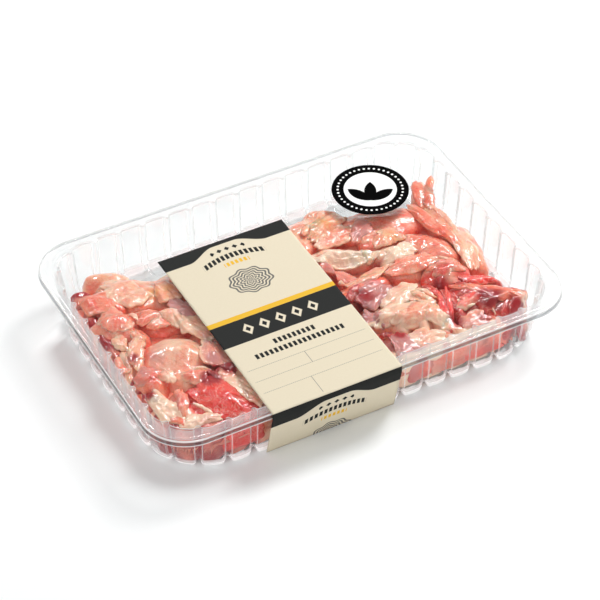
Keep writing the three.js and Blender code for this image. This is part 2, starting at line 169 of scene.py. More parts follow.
def add_node(tree, kind, links=None, **settings):
    """A new node with its settings, and each input linked to a socket or set to a value."""
    made = tree.nodes.new(kind)
    for setting, value in settings.items():
        setattr(made, setting, value)
    for key, value in (links or {}).items():
        if isinstance(value, bpy.types.NodeSocket):
            tree.links.new(value, made.inputs[key])
        else:
            made.inputs[key].default_value = value
    return made


def new_material(name):
    """An empty material and its node tree."""
    material = bpy.data.materials.new(name)
    material.use_nodes = True
    material.node_tree.nodes.clear()
    return material, material.node_tree


def show(tree, shader):
    """Sends a shader to the material's output."""
    add_node(tree, "ShaderNodeOutputMaterial", {"Surface": shader})


def mesh_object(name, points, faces, material=None, smooth=True):
    """An object at the origin from points in millimetres."""
    mesh = bpy.data.meshes.new(name)
    mesh.from_pydata((np.asarray(points, float) * MM).tolist(), [], [list(f) for f in faces])
    mesh.update()
    if smooth:
        mesh.shade_smooth()
    if material:
        mesh.materials.append(material)
    made = bpy.data.objects.new(name, mesh)
    bpy.context.scene.collection.objects.link(made)
    return made


def add_attribute(thing, name, values, kind="FLOAT"):
    """Writes one number, or one vector, for each vertex of an object's mesh."""
    attribute = thing.data.attributes.new(name, kind, "POINT")
    field = "value" if kind == "FLOAT" else "vector"
    attribute.data.foreach_set(field, np.asarray(values, np.float32).ravel())


def applied(thing):
    """Turns an object's modifiers into a plain mesh."""
    graph = bpy.context.evaluated_depsgraph_get()
    mesh = bpy.data.meshes.new_from_object(thing.evaluated_get(graph))
    thing.modifiers.clear()
    thing.data = mesh
    return thing


print("helpers ready, mid grey is", round(linear("808080")[0], 3), "in linear light")

# %% [markdown]
# The room
#
# The walls of a white sweep glow near the horizon and fall off above it. The pale horizon is
# what a lip or a groove of clear plastic mirrors, as a thin bright line. Overhead the room is
# dim, so that the flat film has nothing to mirror.

# %% Room
ROOM_OVERHEAD, ROOM_HORIZON = 0.2, 0.88
HORIZON_ENDS, OVERHEAD_STARTS = math.sin(math.radians(14)), math.sin(math.radians(34))

world = bpy.data.worlds.new("pale room")
world.use_nodes = True
bpy.context.scene.world = world
room = world.node_tree
room.nodes.clear()
direction = add_node(room, "ShaderNodeTexCoord").outputs["Generated"]
height = add_node(room, "ShaderNodeSeparateXYZ", {0: direction}).outputs["Z"]
glow = add_node(room, "ShaderNodeMapRange", {
    "Value": height, "From Min": HORIZON_ENDS, "From Max": OVERHEAD_STARTS,
    "To Min": ROOM_HORIZON, "To Max": ROOM_OVERHEAD,
}, interpolation_type="SMOOTHSTEP").outputs[0]
sky = add_node(room, "ShaderNodeBackground", {"Color": (1, 1, 1, 1), "Strength": glow})
add_node(room, "ShaderNodeOutputWorld", {"Surface": sky.outputs[0]})
print("room:", ROOM_HORIZON, "at the horizon,", ROOM_OVERHEAD, "overhead")

# %% [markdown]
# The floor
#
# A sheet of matt white card runs under the pack. It is stage, not part of the object. It has
# its own faint mottle, so that it isn't one flat number.

# %% Floor
FLOOR_HALF = 2500
CARD_GRAIN = 40
CARD_COLOURS = ("F5F7F7", "F8FAFA")
CARD_ROUGHNESS, CARD_SHINE = 0.9, 0.1


def white_card():
    """Matt white card: pressed fibre with hardly any gloss."""
    material, tree = new_material("white card")
    place = add_node(tree, "ShaderNodeTexCoord")
    grain = add_node(tree, "ShaderNodeTexNoise", {
        "Vector": place.outputs["Object"],
        "Scale": 1 / (CARD_GRAIN * MM),
    })
    tone = add_node(tree, "ShaderNodeMix", {
        MIX_FACTOR: grain.outputs["Fac"],
        MIX_A: linear(CARD_COLOURS[0]),
        MIX_B: linear(CARD_COLOURS[1]),
    }, data_type="RGBA")
    skin = add_node(tree, "ShaderNodeBsdfPrincipled", {
        "Base Color": tone.outputs[MIX_RESULT],
        "Roughness": CARD_ROUGHNESS,
        "Specular IOR Level": CARD_SHINE,
    })
    show(tree, skin.outputs["BSDF"])
    return material


corners = [(-FLOOR_HALF, -FLOOR_HALF, 0), (FLOOR_HALF, -FLOOR_HALF, 0),
           (FLOOR_HALF, FLOOR_HALF, 0), (-FLOOR_HALF, FLOOR_HALF, 0)]
floor = mesh_object("floor", corners, [(0, 1, 2, 3)], white_card())
print("floor:", 2 * FLOOR_HALF * MM, "m square")

# %% [markdown]
# Clear plastic
#
# The tray is thermoformed PET, about 0.4 mm thick and perfectly clear. Its look comes from the
# faint mirror on each face, which grows at grazing angles, from edges that go grey where one
# looks along the sheet, and from a slight milkiness where the film is welded on. Real glass
# shaders bend light and need thousands of samples behind two walls. A sheet this thin shifts
# nothing, so a transparent shader with a glossy one over it gives the same picture at once,
# and lamps shine through it. Blender's own node for the share of a mirror would turn the far
# face of the sheet into a full one, as if light were trapped inside. So the share is worked out
# as a power of the slant, which is the same from both sides.
#
# Light also creeps along inside the sheet and leaves it at every fold, so the lip, the rim of
# the flange and the edges of the grooves are thin white lines with a faint glow, and the small
# feet, where the sheet folds most, are white all over. Here these lines and feet are a painted
# highlight: they are painted white, and every milky zone, the weld too, has a faint painted glow
# that gives off light. The same folds bend away the light that comes through, so in front of a
# white floor they are grey lines, and these are painted shade. Only the weld is truly milky. A
# line 0.4 mm wide is finer than the mesh. So each point only knows its place on the profile, and
# the shader draws the lines from that.

# %% Clear plastic: values and zones
PET_IOR = 1.57
FILM_IOR = 1.5
PLASTIC_ROUGHNESS = 0.05
FLOW_SIZE, FLOW_HEIGHT = 7.0, 0.4
EDGE_POWER = 7.0
GRAZING_POWER = 5.0
MIRROR_SHARE = 0.8
SOFT_STEP = 0.12
PASSED_THROUGH = 0.35
# A painted glow: the milky zones give off this much light of their own.
PAINTED_GLOW = 0.16
ANY = (-99, 99)
# The first two zones are the haze of the weld; the others are painted highlights on the lip, the rim
# of the flange and the groove edges, and painted white on the feet.
HAZE_AND_PAINTED_HIGHLIGHTS = [
    # inset from the edge of the flange, height, distance to a groove, all in mm; amount
    ((0.3, 6.2), (29.5, 32), ANY, 0.07),
    ((6.2, 8.0), (29.5, 30.99), ANY, 0.15),
    ((-9, 0.45), (30.2, 32), ANY, 0.65),
    ((-9, 0.9), (27.2, 28.3), ANY, 0.6),
    ((7.7, 8.15), (29.9, 30.99), ANY, 0.55),
    ((7.9, 11), (4, 30.4), (1.65, 2.05), 0.35),
    ((7.0, 10.8), (-1, 3.4), (1.2, 99), 0.85),
    ((7.0, 10.8), (3.2, 5.2), (1.2, 99), 0.45),
    ((7.0, 10.8), (-1, 3.2), (-1, 1.2), 0.4),
]
# Painted shade: grey lines on the lip and on the inner rim of the flange, where the folds bend light
# away.
PAINTED_SHADE_LINES = [
    ((-9, 0.3), (27.5, 30.6), ANY, 0.45),
    ((-9, 0.45), (30.2, 32), ANY, 0.6),
    ((7.7, 8.15), (29.9, 30.99), ANY, 0.25),
]


def zones_of_sheet(tree, zones):
    """The strongest amount of the zones that a point of the sheet lies in."""
    total = 0.0
    for *spans, amount in zones:
        part = amount
        for attribute, span in zip(("inset", "height", "groove"), spans):
            if span is ANY:
                continue
            low, high = span
            place = add_node(tree, "ShaderNodeAttribute", attribute_name=attribute).outputs["Fac"]
            off = add_node(tree, "ShaderNodeMath", {0: place, 1: (low + high) / 2},
                           operation="SUBTRACT").outputs[0]
            away = add_node(tree, "ShaderNodeMath", {0: off}, operation="ABSOLUTE").outputs[0]
            inside = add_node(tree, "ShaderNodeMapRange", {
                "Value": away, "From Min": (high - low) / 2 - SOFT_STEP,
                "From Max": (high - low) / 2 + SOFT_STEP, "To Min": 1.0, "To Max": 0.0,
            }).outputs[0]
            part = add_node(tree, "ShaderNodeMath", {0: part, 1: inside},
                            operation="MULTIPLY").outputs[0]
        total = add_node(tree, "ShaderNodeMath", {0: total, 1: part},
                         operation="MAXIMUM").outputs[0]
    return total


# The smoky zones are the painted shade lines.
print("zones of the sheet:", len(HAZE_AND_PAINTED_HIGHLIGHTS), "milky and", len(PAINTED_SHADE_LINES), "smoky")

# %% Clear plastic: the two sheets
def clear_sheet(name, ior, tint, edge_tint, ripple_strength):
    """A clear sheet with a mirror, grey edges, and the haze and painted light its mesh asks for."""
    material, tree = new_material(name)
    place = add_node(tree, "ShaderNodeTexCoord").outputs["Object"]
    slant = add_node(tree, "ShaderNodeLayerWeight", {"Blend": 0.5}).outputs["Facing"]
    along_sheet = add_node(tree, "ShaderNodeMath", {0: slant, 1: EDGE_POWER}, operation="POWER")
    # Grey where one looks along the sheet, and painted shade on the fold lines.
    grazing_and_painted_shade = add_node(tree, "ShaderNodeMath", {0: along_sheet.outputs[0],
                                              1: zones_of_sheet(tree, PAINTED_SHADE_LINES)}, operation="MAXIMUM")
    through = add_node(tree, "ShaderNodeMix", {
        MIX_FACTOR: grazing_and_painted_shade.outputs[0], MIX_A: linear(tint), MIX_B: linear(edge_tint),
    }, data_type="RGBA").outputs[MIX_RESULT]
    clear = add_node(tree, "ShaderNodeBsdfTransparent", {"Color": through})
    flow = add_node(tree, "ShaderNodeTexNoise", {"Vector": place, "Scale": 1 / (FLOW_SIZE * MM),
                                                 "Detail": 1.0})
    ripple = add_node(tree, "ShaderNodeBump", {
        "Height": flow.outputs["Fac"], "Strength": ripple_strength,
        "Distance": FLOW_HEIGHT * MM,
    })
    mirror = add_node(tree, "ShaderNodeBsdfGlossy", {
        "Color": (1, 1, 1, 1), "Roughness": PLASTIC_ROUGHNESS,
        "Normal": ripple.outputs["Normal"],
    })
    head_on = MIRROR_SHARE * ((ior - 1) / (ior + 1)) ** 2
    grazing = add_node(tree, "ShaderNodeMath", {0: slant, 1: GRAZING_POWER}, operation="POWER")
    share = add_node(tree, "ShaderNodeMath", {0: grazing.outputs[0], 1: MIRROR_SHARE, 2: head_on},
                     operation="MULTIPLY_ADD")
    bare = add_node(tree, "ShaderNodeMixShader", {
        0: share.outputs[0], 1: clear.outputs[0], 2: mirror.outputs[0],
    })
    # The weld's haze, and painted highlights with a painted glow on the folds and the feet.
    haze_and_painted_highlights = zones_of_sheet(tree, HAZE_AND_PAINTED_HIGHLIGHTS)
    near_side = add_node(tree, "ShaderNodeBsdfDiffuse", {"Color": linear("FFFFFF")})
    far_side = add_node(tree, "ShaderNodeBsdfTranslucent", {"Color": linear("FFFFFF")})
    haze_and_highlight_white = add_node(tree, "ShaderNodeMixShader", {
        0: PASSED_THROUGH, 1: near_side.outputs[0], 2: far_side.outputs[0],
    })
    # Painted glow: these zones give off light, though no lamp is there.
    painted_glow_shader = add_node(tree, "ShaderNodeEmission", {"Color": linear("FFFFFF"), "Strength": PAINTED_GLOW})
    white = add_node(tree, "ShaderNodeAddShader", {0: haze_and_highlight_white.outputs[0], 1: painted_glow_shader.outputs[0]})
    skin = add_node(tree, "ShaderNodeMixShader", {
        0: haze_and_painted_highlights, 1: bare.outputs[0], 2: white.outputs[0],
    })
    show(tree, skin.outputs[0])
    return material


PET = clear_sheet("thermoformed PET", PET_IOR, "FDFEFE", "8E9396", 0.04)
LID = clear_sheet("sealed clear film", FILM_IOR, "FEFEFE", "E8EAEA", 0.12)
print("clear sheets:", PET.name, "and", LID.name)

# %% [markdown]
# The tray
#
# A hot sheet is sucked into a mould, so the tray is one skin of even thickness: a turned-down
# lip, a flat flange, a wall folded into panels and grooves, a row of hollow feet, and a raised
# floor. One could model it by hand with loops, but its shape follows a rule: a profile is swept
# round a rounded rectangle, and the wall stands in at each groove. So the sweep is made in mesh
# code, with a finer profile than the CAD one, and each point remembers how far along the wall
# the nearest groove lies. Cutting the corners of the profile rounds its folds, as the sheet
# rounds over the mould.

# %% Tray: sizes
tray_low, tray_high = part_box("tray")
LIP_FLARE = 0.7
TRAY_LENGTH = (tray_high.x - tray_low.x) / MM - 2 * LIP_FLARE
TRAY_WIDTH = (tray_high.y - tray_low.y) / MM - 2 * LIP_FLARE
FLANGE_TOP = tray_high.z / MM
SHEET = 0.6
FLANGE_WIDTH = 8
FLANGE_CORNER = 23.4
WALL_CORNER = 23.3
BASE_CORNER = 34
LIP_DROP = 3
FLUTE_PITCH = 13.6
GROOVE_HALF_WIDTH = 1.9
GROOVE_DEPTH = 1.8
GROOVE_BOTTOM = 0.25
NOTCH_REACH = 1.5
PANEL_CROWN = 0.35
FLUTE_PHASE = {"right": 8.5, "back": 2.6, "left": 7.5, "front": 3.9}
WALL_FOOT_HEIGHT = 6.5
NOTCH_HEIGHT = 3.4
FOOT_DEPTH = 7
FLOOR_HEIGHT = 4.2
COLUMN_STEP = 0.75

RUN_X = TRAY_LENGTH / 2 - FLANGE_WIDTH - WALL_CORNER
RUN_Y = TRAY_WIDTH / 2 - FLANGE_WIDTH - WALL_CORNER
ARC = math.pi / 2 * WALL_CORNER
BACK_MIDDLE = RUN_Y + ARC + RUN_X
LEFT_MIDDLE = BACK_MIDDLE + RUN_X + ARC + RUN_Y
FRONT_MIDDLE = LEFT_MIDDLE + RUN_Y + ARC + RUN_X
WALL_LINE = 2 * LEFT_MIDDLE
print("tray:", round(TRAY_LENGTH), "x", round(TRAY_WIDTH), "wall line:", round(WALL_LINE), "mm")

# %% Tray: the line of the grooves
def groove_places():
    """Distance of every groove along the wall line, which starts at the middle of the right."""
    sides = [(0, RUN_Y, FLUTE_PHASE["right"]), (BACK_MIDDLE, RUN_X, -FLUTE_PHASE["back"]),
             (LEFT_MIDDLE, RUN_Y, -FLUTE_PHASE["left"]), (FRONT_MIDDLE, RUN_X, FLUTE_PHASE["front"])]
    on_sides = []
    for middle, run, phase in sides:
        first = math.ceil((-run - phase) / FLUTE_PITCH)
        last = math.floor((run - phase) / FLUTE_PITCH)
        on_sides += [middle + phase + i * FLUTE_PITCH for i in range(first, last + 1)]
    places = []
    for i, start in enumerate(on_sides):
        end = on_sides[i + 1] if i + 1 < len(on_sides) else on_sides[0] + WALL_LINE
        parts = max(1, round((end - start) / FLUTE_PITCH))
        places += [start + (end - start) * k / parts for k in range(parts)]
    return places


def wall_point(along):
    """Place and outward direction at a distance along the wall line."""
    half = WALL_LINE / 2
    along = along % WALL_LINE
    sign, s = (-1, along - half) if along >= half else (1, along)
    if s <= RUN_Y:
        x, y, nx, ny = RUN_X + WALL_CORNER, s, 1, 0
    elif s <= RUN_Y + ARC:
        angle = (s - RUN_Y) / WALL_CORNER
        nx, ny = math.cos(angle), math.sin(angle)
        x, y = RUN_X + WALL_CORNER * nx, RUN_Y + WALL_CORNER * ny
    elif s <= RUN_Y + ARC + 2 * RUN_X:
        x, y, nx, ny = BACK_MIDDLE - s, RUN_Y + WALL_CORNER, 0, 1
    elif s <= RUN_Y + 2 * ARC + 2 * RUN_X:
        angle = math.pi / 2 + (s - RUN_Y - ARC - 2 * RUN_X) / WALL_CORNER
        nx, ny = math.cos(angle), math.sin(angle)
        x, y = -RUN_X + WALL_CORNER * nx, RUN_Y + WALL_CORNER * ny
    else:
        x, y, nx, ny = -RUN_X - WALL_CORNER, LEFT_MIDDLE - s, -1, 0
    return sign * x, sign * y, sign * nx, sign * ny


def wall_columns():
    """Columns of the skin: x, y, outward x and y, distance to the groove, half of the panel."""
    grooves = groove_places()
    columns = []
    for i, start in enumerate(grooves):
        end = grooves[i + 1] if i + 1 < len(grooves) else grooves[0] + WALL_LINE
        steps = 2 * round((end - start) / COLUMN_STEP / 2)
        for k in range(steps):
            offset = (end - start) * k / steps
            near = min(offset, end - start - offset)
            columns.append((*wall_point(start + offset), near, (end - start) / 2))
    return np.array(columns)


columns = wall_columns()
print("columns round the wall:", len(columns))

# %% Tray: rounded outlines
SETTLE_ROUNDS = 12


def distance_to_outline(x, y, inset, corner):
    """Signed distance to a rounded rectangle that lies inset from the flange's edge."""
    qx = np.abs(x) - (TRAY_LENGTH / 2 - inset - corner)
    qy = np.abs(y) - (TRAY_WIDTH / 2 - inset - corner)
    outside = np.hypot(np.maximum(qx, 0), np.maximum(qy, 0))
    return outside + np.minimum(np.maximum(qx, qy), 0) - corner


def at_inset(table, inset, corner):
    """Places below a table of columns, on the rounded outline that lies inset from the edge."""
    x, y, nx, ny = table[:, :4].T
    out = np.zeros(len(x))
    for _ in range(SETTLE_ROUNDS):
        out -= distance_to_outline(x + nx * out, y + ny * out, inset, corner)
    return x + nx * out, y + ny * out


wall_x, _ = at_inset(columns[:1], FLANGE_WIDTH, WALL_CORNER)
print("the wall starts", round(float(wall_x[0]), 1), "mm from the middle")

# %% Tray: the profile
CUT_ROUNDS = 2


def cut_corners(rows, rounds):
    """Cuts the corners of a profile a few times over, and keeps its two ends."""
    rows = np.array(rows, float)
    for _ in range(rounds):
        first = 0.75 * rows[:-1] + 0.25 * rows[1:]
        second = 0.25 * rows[:-1] + 0.75 * rows[1:]
        between = np.stack([first, second], 1).reshape(-1, rows.shape[1])
        rows = np.vstack([rows[:1], between, rows[-1:]])
    return rows


def tray_profile():
    """The two faces of the sheet. A row is inset, corner, height, fluted, footed."""
    lip_foot = FLANGE_TOP - LIP_DROP
    foot_inset = FLANGE_WIDTH + 0.2
    foot_end = foot_inset + FOOT_DEPTH
    floor_edge = foot_end + 3
    upper = [
        (-LIP_FLARE, FLANGE_CORNER + LIP_FLARE, lip_foot, 0, 0),
        (-LIP_FLARE / 2, FLANGE_CORNER, lip_foot + 1.2, 0, 0),
        (-0.05, FLANGE_CORNER, FLANGE_TOP - 0.3, 0, 0),
        (0.4, FLANGE_CORNER - 0.4, FLANGE_TOP, 0, 0),
        (FLANGE_WIDTH - 0.8, WALL_CORNER, FLANGE_TOP, 1, 0),
        (FLANGE_WIDTH, WALL_CORNER, FLANGE_TOP, 1, 0),
        (FLANGE_WIDTH + 0.1, WALL_CORNER, FLANGE_TOP - 0.8, 1, 0),
        (FLANGE_WIDTH + 0.3, WALL_CORNER, FLANGE_TOP - 2.5, 1, 0),
        (FLANGE_WIDTH + 1.2, WALL_CORNER + 4, WALL_FOOT_HEIGHT, 1, 0),
        (foot_inset + 1.4, BASE_CORNER, SHEET + 0.6, 1, 0.9),
        (foot_inset + 2.4, BASE_CORNER - 1, SHEET, 0.9, 1),
        (foot_end - 1, BASE_CORNER - 6, SHEET, 0.1, 1),
        (foot_end, BASE_CORNER - 6, SHEET + 0.4, 0, 0.9),
        (floor_edge - 0.6, BASE_CORNER - 8, FLOOR_HEIGHT - 0.4, 0, 0),
        (floor_edge + 0.6, BASE_CORNER - 8, FLOOR_HEIGHT, 0, 0),
    ]
    lower = [
        (-LIP_FLARE + SHEET / 2, FLANGE_CORNER + LIP_FLARE - SHEET, lip_foot, 0, 0),
        (0.45, FLANGE_CORNER - 0.5, FLANGE_TOP - SHEET - 0.3, 0, 0),
        (0.9, FLANGE_CORNER - 0.9, FLANGE_TOP - SHEET, 0, 0),
        (FLANGE_WIDTH - SHEET, WALL_CORNER, FLANGE_TOP - SHEET, 1, 0),
        (FLANGE_WIDTH - SHEET + 0.1, WALL_CORNER, FLANGE_TOP - SHEET - 1, 1, 0),
        (FLANGE_WIDTH + 1.2 - SHEET, WALL_CORNER + 4, WALL_FOOT_HEIGHT, 1, 0),
        (foot_inset + 0.6, BASE_CORNER, 0.9, 1, 0.8),
        (foot_inset + 1.6, BASE_CORNER, 0, 1, 1),
        (foot_end, BASE_CORNER - 6, 0, 0, 1),
        (floor_edge, BASE_CORNER - 8, FLOOR_HEIGHT - SHEET - 0.4, 0, 0),
        (floor_edge + 0.6, BASE_CORNER - 8, FLOOR_HEIGHT - SHEET, 0, 0),
    ]
    return np.vstack([cut_corners(lower, CUT_ROUNDS)[::-1], cut_corners(upper, CUT_ROUNDS)])


profile = tray_profile()
print("rows of the profile:", len(profile))

# %% Tray: the swept skin
def swept_tray():
    """The tray before it is fluted, with the facts that the fluting needs on every point."""
    x, y, nx, ny, near, half = columns.T
    points, facts = [], []
    for inset, corner, height, fluted, footed in profile:
        points.append(np.column_stack([*at_inset(columns, inset, corner),
                                       np.full(len(x), height)]))
        same = [np.full(len(x), value) for value in (fluted, footed, inset, height)]
        facts.append(np.column_stack([near, half, nx, ny, *same]))
    count = len(x)
    faces = []
    for row, i in itertools.product(range(len(profile) - 1), range(count)):
        a, b = row * count + i, row * count + (i + 1) % count
        faces.append((a, b, b + count, a + count))
    points, facts = np.vstack(points), np.vstack(facts)
    # The two points in the middle of the floor aren't fluted and lie far from the edge.
    middle = np.zeros((2, facts.shape[1]))
    middle[:, 1] = 1
    middle[:, 6] = TRAY_WIDTH / 2
    floors = np.array([(0, 0, FLOOR_HEIGHT - SHEET), (0, 0, FLOOR_HEIGHT)])
    below, above = len(points), len(points) + 1
    last = (len(profile) - 1) * count
    faces += [(below, (i + 1) % count, i) for i in range(count)]
    faces += [(above, last + i, last + (i + 1) % count) for i in range(count)]
    return np.vstack([points, floors]), faces, np.vstack([facts, middle])


tray_points, tray_faces, tray_facts = swept_tray()
tray = mesh_object("tray_skin", tray_points, tray_faces)
for name, column in (("groove_distance", 0), ("panel_half", 1)):
    add_attribute(tray, name, tray_facts[:, column] * MM)
for name, column in (("fluted", 4), ("footed", 5), ("inset", 6), ("height", 7), ("groove", 0)):
    add_attribute(tray, name, tray_facts[:, column])
outward = np.column_stack([tray_facts[:, 2], tray_facts[:, 3], np.zeros(len(tray_facts))])
add_attribute(tray, "outward", outward, "FLOAT_VECTOR")
print("tray skin:", len(tray_points), "points")

# %% [markdown]
# Fluting the wall
#
# Every groove is the same fold, repeated about fifty times, and that is what Geometry Nodes are
# for. The tree reads how far each point is from the nearest groove and pushes the panels out,
# crowns them a little, and lifts the edge of the base between two feet. Its inputs are the
# sizes that a mould maker would change.

# %% Tray: the fluting tree
def fluting_tree():
    """A node tree that folds a swept skin into panels, grooves and feet."""
    tree = bpy.data.node_groups.new("flute the wall", "GeometryNodeTree")
    tree.interface.new_socket("Skin", in_out="INPUT", socket_type="NodeSocketGeometry")
    for name in ("Groove half width", "Groove depth", "Panel crown", "Notch height"):
        tree.interface.new_socket(name, in_out="INPUT", socket_type="NodeSocketFloat")
    tree.interface.new_socket("Plastic", in_out="INPUT", socket_type="NodeSocketMaterial")
    tree.interface.new_socket("Skin", in_out="OUTPUT", socket_type="NodeSocketGeometry")
    given = add_node(tree, "NodeGroupInput").outputs
    fact = {}
    for name in ("groove_distance", "panel_half", "fluted", "footed"):
        fact[name] = add_node(tree, "GeometryNodeInputNamedAttribute", {"Name": name},
                              data_type="FLOAT").outputs[0]
    outwards = add_node(tree, "GeometryNodeInputNamedAttribute", {"Name": "outward"},
                        data_type="FLOAT_VECTOR").outputs[0]
    bottom = add_node(tree, "ShaderNodeMath", {0: given["Groove half width"], 1: GROOVE_BOTTOM},
                      operation="MULTIPLY")
    stand = add_node(tree, "ShaderNodeMapRange", {
        "Value": fact["groove_distance"],
        "From Min": bottom.outputs[0],
        "From Max": given["Groove half width"],
        "To Min": 0.0,
        "To Max": given["Groove depth"],
    }, interpolation_type="SMOOTHSTEP")
    across = add_node(tree, "ShaderNodeMapRange", {
        "Value": fact["groove_distance"],
        "From Min": given["Groove half width"],
        "From Max": fact["panel_half"],
        "To Min": 0.0,
        "To Max": math.pi / 2,
    })
    swell = add_node(tree, "ShaderNodeMath", {0: across.outputs[0]}, operation="SINE")
    crown = add_node(tree, "ShaderNodeMath", {0: swell.outputs[0], 1: given["Panel crown"],
                                              2: stand.outputs[0]}, operation="MULTIPLY_ADD")
    push = add_node(tree, "ShaderNodeMath", {0: crown.outputs[0], 1: fact["fluted"]},
                    operation="MULTIPLY")
    notch_end = add_node(tree, "ShaderNodeMath", {0: given["Groove half width"], 1: NOTCH_REACH},
                         operation="MULTIPLY")
    lift = add_node(tree, "ShaderNodeMapRange", {
        "Value": fact["groove_distance"],
        "From Min": bottom.outputs[0],
        "From Max": notch_end.outputs[0],
        "To Min": given["Notch height"],
        "To Max": 0.0,
    }, interpolation_type="SMOOTHSTEP")
    rise = add_node(tree, "ShaderNodeMath", {0: lift.outputs[0], 1: fact["footed"]},
                    operation="MULTIPLY")
    sideways = add_node(tree, "ShaderNodeVectorMath", {0: outwards, "Scale": push.outputs[0]},
                        operation="SCALE")
    upwards = add_node(tree, "ShaderNodeCombineXYZ", {"Z": rise.outputs[0]})
    move = add_node(tree, "ShaderNodeVectorMath", {0: sideways.outputs[0],
                                                   1: upwards.outputs[0]}, operation="ADD")
    moved = add_node(tree, "GeometryNodeSetPosition", {"Geometry": given["Skin"],
                                                       "Offset": move.outputs[0]})
    real = add_node(tree, "GeometryNodeRealizeInstances", {"Geometry": moved.outputs[0]})
    dressed = add_node(tree, "GeometryNodeSetMaterial", {"Geometry": real.outputs[0],
                                                         "Material": given["Plastic"]})
    add_node(tree, "NodeGroupOutput", {0: dressed.outputs[0]})
    return tree


def use_tree(thing, tree, settings):
    """Adds a tree to an object as a modifier and sets its inputs by their identifiers."""
    modifier = thing.modifiers.new(tree.name, "NODES")
    modifier.node_group = tree
    for item in tree.interface.items_tree:
        if item.in_out == "INPUT" and item.name in settings:
            modifier[item.identifier] = settings[item.name]

fluting = fluting_tree()
print("inputs of the tree:", ", ".join(item.name for item in fluting.interface.items_tree))

# %% Tray: fluted and finished
use_tree(tray, fluting, {
    "Groove half width": GROOVE_HALF_WIDTH * MM,
    "Groove depth": GROOVE_DEPTH * MM,
    "Panel crown": PANEL_CROWN * MM,
    "Notch height": NOTCH_HEIGHT * MM,
    "Plastic": PET,
})
applied(tray)
tray.data.shade_smooth()
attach(tray, "root")
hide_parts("tray")
print("tray:", len(tray.data.polygons), "faces,", len(groove_places()), "grooves")

# %% [markdown]
# The lid film
#
# A film 0.05 mm thick is welded to the flange and pulled tight by the heat. It is drawn 0.3 mm
# thick, as in the CAD model. A flat plate would mirror the room like a pane, so the film sags
# by a fraction of a millimetre towards its middle. A grid of rings, one inside the other,
# follows the rounded outline and lets the weld be marked on the flange.

# %% Lid film
film_low, film_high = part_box("lid_film")
FILM_INSET = TRAY_LENGTH / 2 - film_high.x / MM
FILM_SAG = 0.06
FILM_SAG_WIDTH = 12
FILM_RINGS = [FILM_INSET, 3, 5.5, FLANGE_WIDTH, 11, 14, 17, 20]
FILM_COLUMNS = columns[::3]
FAR_INSET = 99


def film_points(height):
    """Rings of points of the film at a height, from the edge inwards."""
    rows = []
    for inset in FILM_RINGS:
        x, y = at_inset(FILM_COLUMNS, inset, FLANGE_CORNER - inset)
        sag = FILM_SAG * min(1, max(0, (inset - FLANGE_WIDTH) / FILM_SAG_WIDTH))
        rows.append(np.column_stack([x, y, np.full(len(x), height - sag)]))
    return np.vstack(rows)


def lid_film():
    """A thin closed plate from two sheets of rings and their caps."""
    top = film_points(film_high.z / MM)
    bottom = film_points(film_low.z / MM)
    count = len(FILM_COLUMNS)
    rows = len(FILM_RINGS)
    faces = []
    for row, i in itertools.product(range(rows - 1), range(count)):
        a, b = row * count + i, row * count + (i + 1) % count
        faces.append((a, b, b + count, a + count))
        faces.append(tuple(rows * count + k for k in (a, a + count, b + count, b)))
    for i in range(count):
        j = (i + 1) % count
        faces.append((rows * count + i, rows * count + j, j, i))
    middle_top, middle_bottom = 2 * rows * count, 2 * rows * count + 1
    last = (rows - 1) * count
    for i in range(count):
        j = (i + 1) % count
        faces.append((last + i, last + j, middle_top))
        faces.append((rows * count + last + j, rows * count + last + i, middle_bottom))
    middle = [(0, 0, film_high.z / MM - FILM_SAG), (0, 0, film_low.z / MM - FILM_SAG)]
    film = mesh_object("film_sheet", np.vstack([top, bottom, middle]), faces, LID)
    add_attribute(film, "inset", list(np.repeat(FILM_RINGS, count)) * 2 + [FAR_INSET] * 2)
    add_attribute(film, "height", np.full(len(film.data.vertices), film_high.z / MM))
    return film


film = lid_film()
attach(film, "root")
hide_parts("lid_film")
print("film:", len(film.data.polygons), "faces")

# %% [markdown]
# The label
#
# One sheet of coated paper lies on the film, folds over the lip and hangs down the front. Its
# print follows the fold, so every point of the sheet knows how far it is from the label's
# centre line and how far down the sheet it is, both in millimetres, and the print is drawn from
# those two numbers. Fields of colour come first: a charcoal band with an arch cut into it, a
# yellow stripe, a charcoal bar and a beige ground. Small plain shapes stand on them.

# %% Label: the folded sheet
label_low, label_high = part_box("label")
PAPER = 0.3
LABEL_LEFT, LABEL_RIGHT = label_low.x / MM, label_high.x / MM
LABEL_MIDDLE = (LABEL_LEFT + LABEL_RIGHT) / 2
LABEL_BACK = label_high.y / MM
LABEL_TOP = label_high.z / MM
LABEL_FRONT = label_low.y / MM
LABEL_FOOT_Z = label_low.z / MM
LABEL_FOOT_Y = -75.3
FOLD_RADIUS = 1.1
FOLD_STEPS, HANG_STEPS = 9, 20
PAST_THE_LIP = 0.3
LABEL_CELL = 1.2


def label_section():
    """The outer face of the sheet in the YZ plane, from the back edge down to the foot."""
    flat_end = LABEL_FRONT + FOLD_RADIUS
    section = [(y, LABEL_TOP) for y in np.arange(LABEL_BACK, flat_end, -LABEL_CELL)]
    section.append((flat_end, LABEL_TOP))
    for turn in np.linspace(0.1, 1, FOLD_STEPS) * math.pi / 2:
        section.append((flat_end - FOLD_RADIUS * math.sin(turn),
                        LABEL_TOP - FOLD_RADIUS * (1 - math.cos(turn))))
    hang_from = FLANGE_TOP - LIP_DROP - PAST_THE_LIP
    section.append((LABEL_FRONT, hang_from))
    for part in np.linspace(1 / HANG_STEPS, 1, HANG_STEPS):
        y = LABEL_FRONT + (LABEL_FOOT_Y - LABEL_FRONT) * part
        section.append((y, hang_from + (LABEL_FOOT_Z - hang_from) * part))
    return np.array(section)


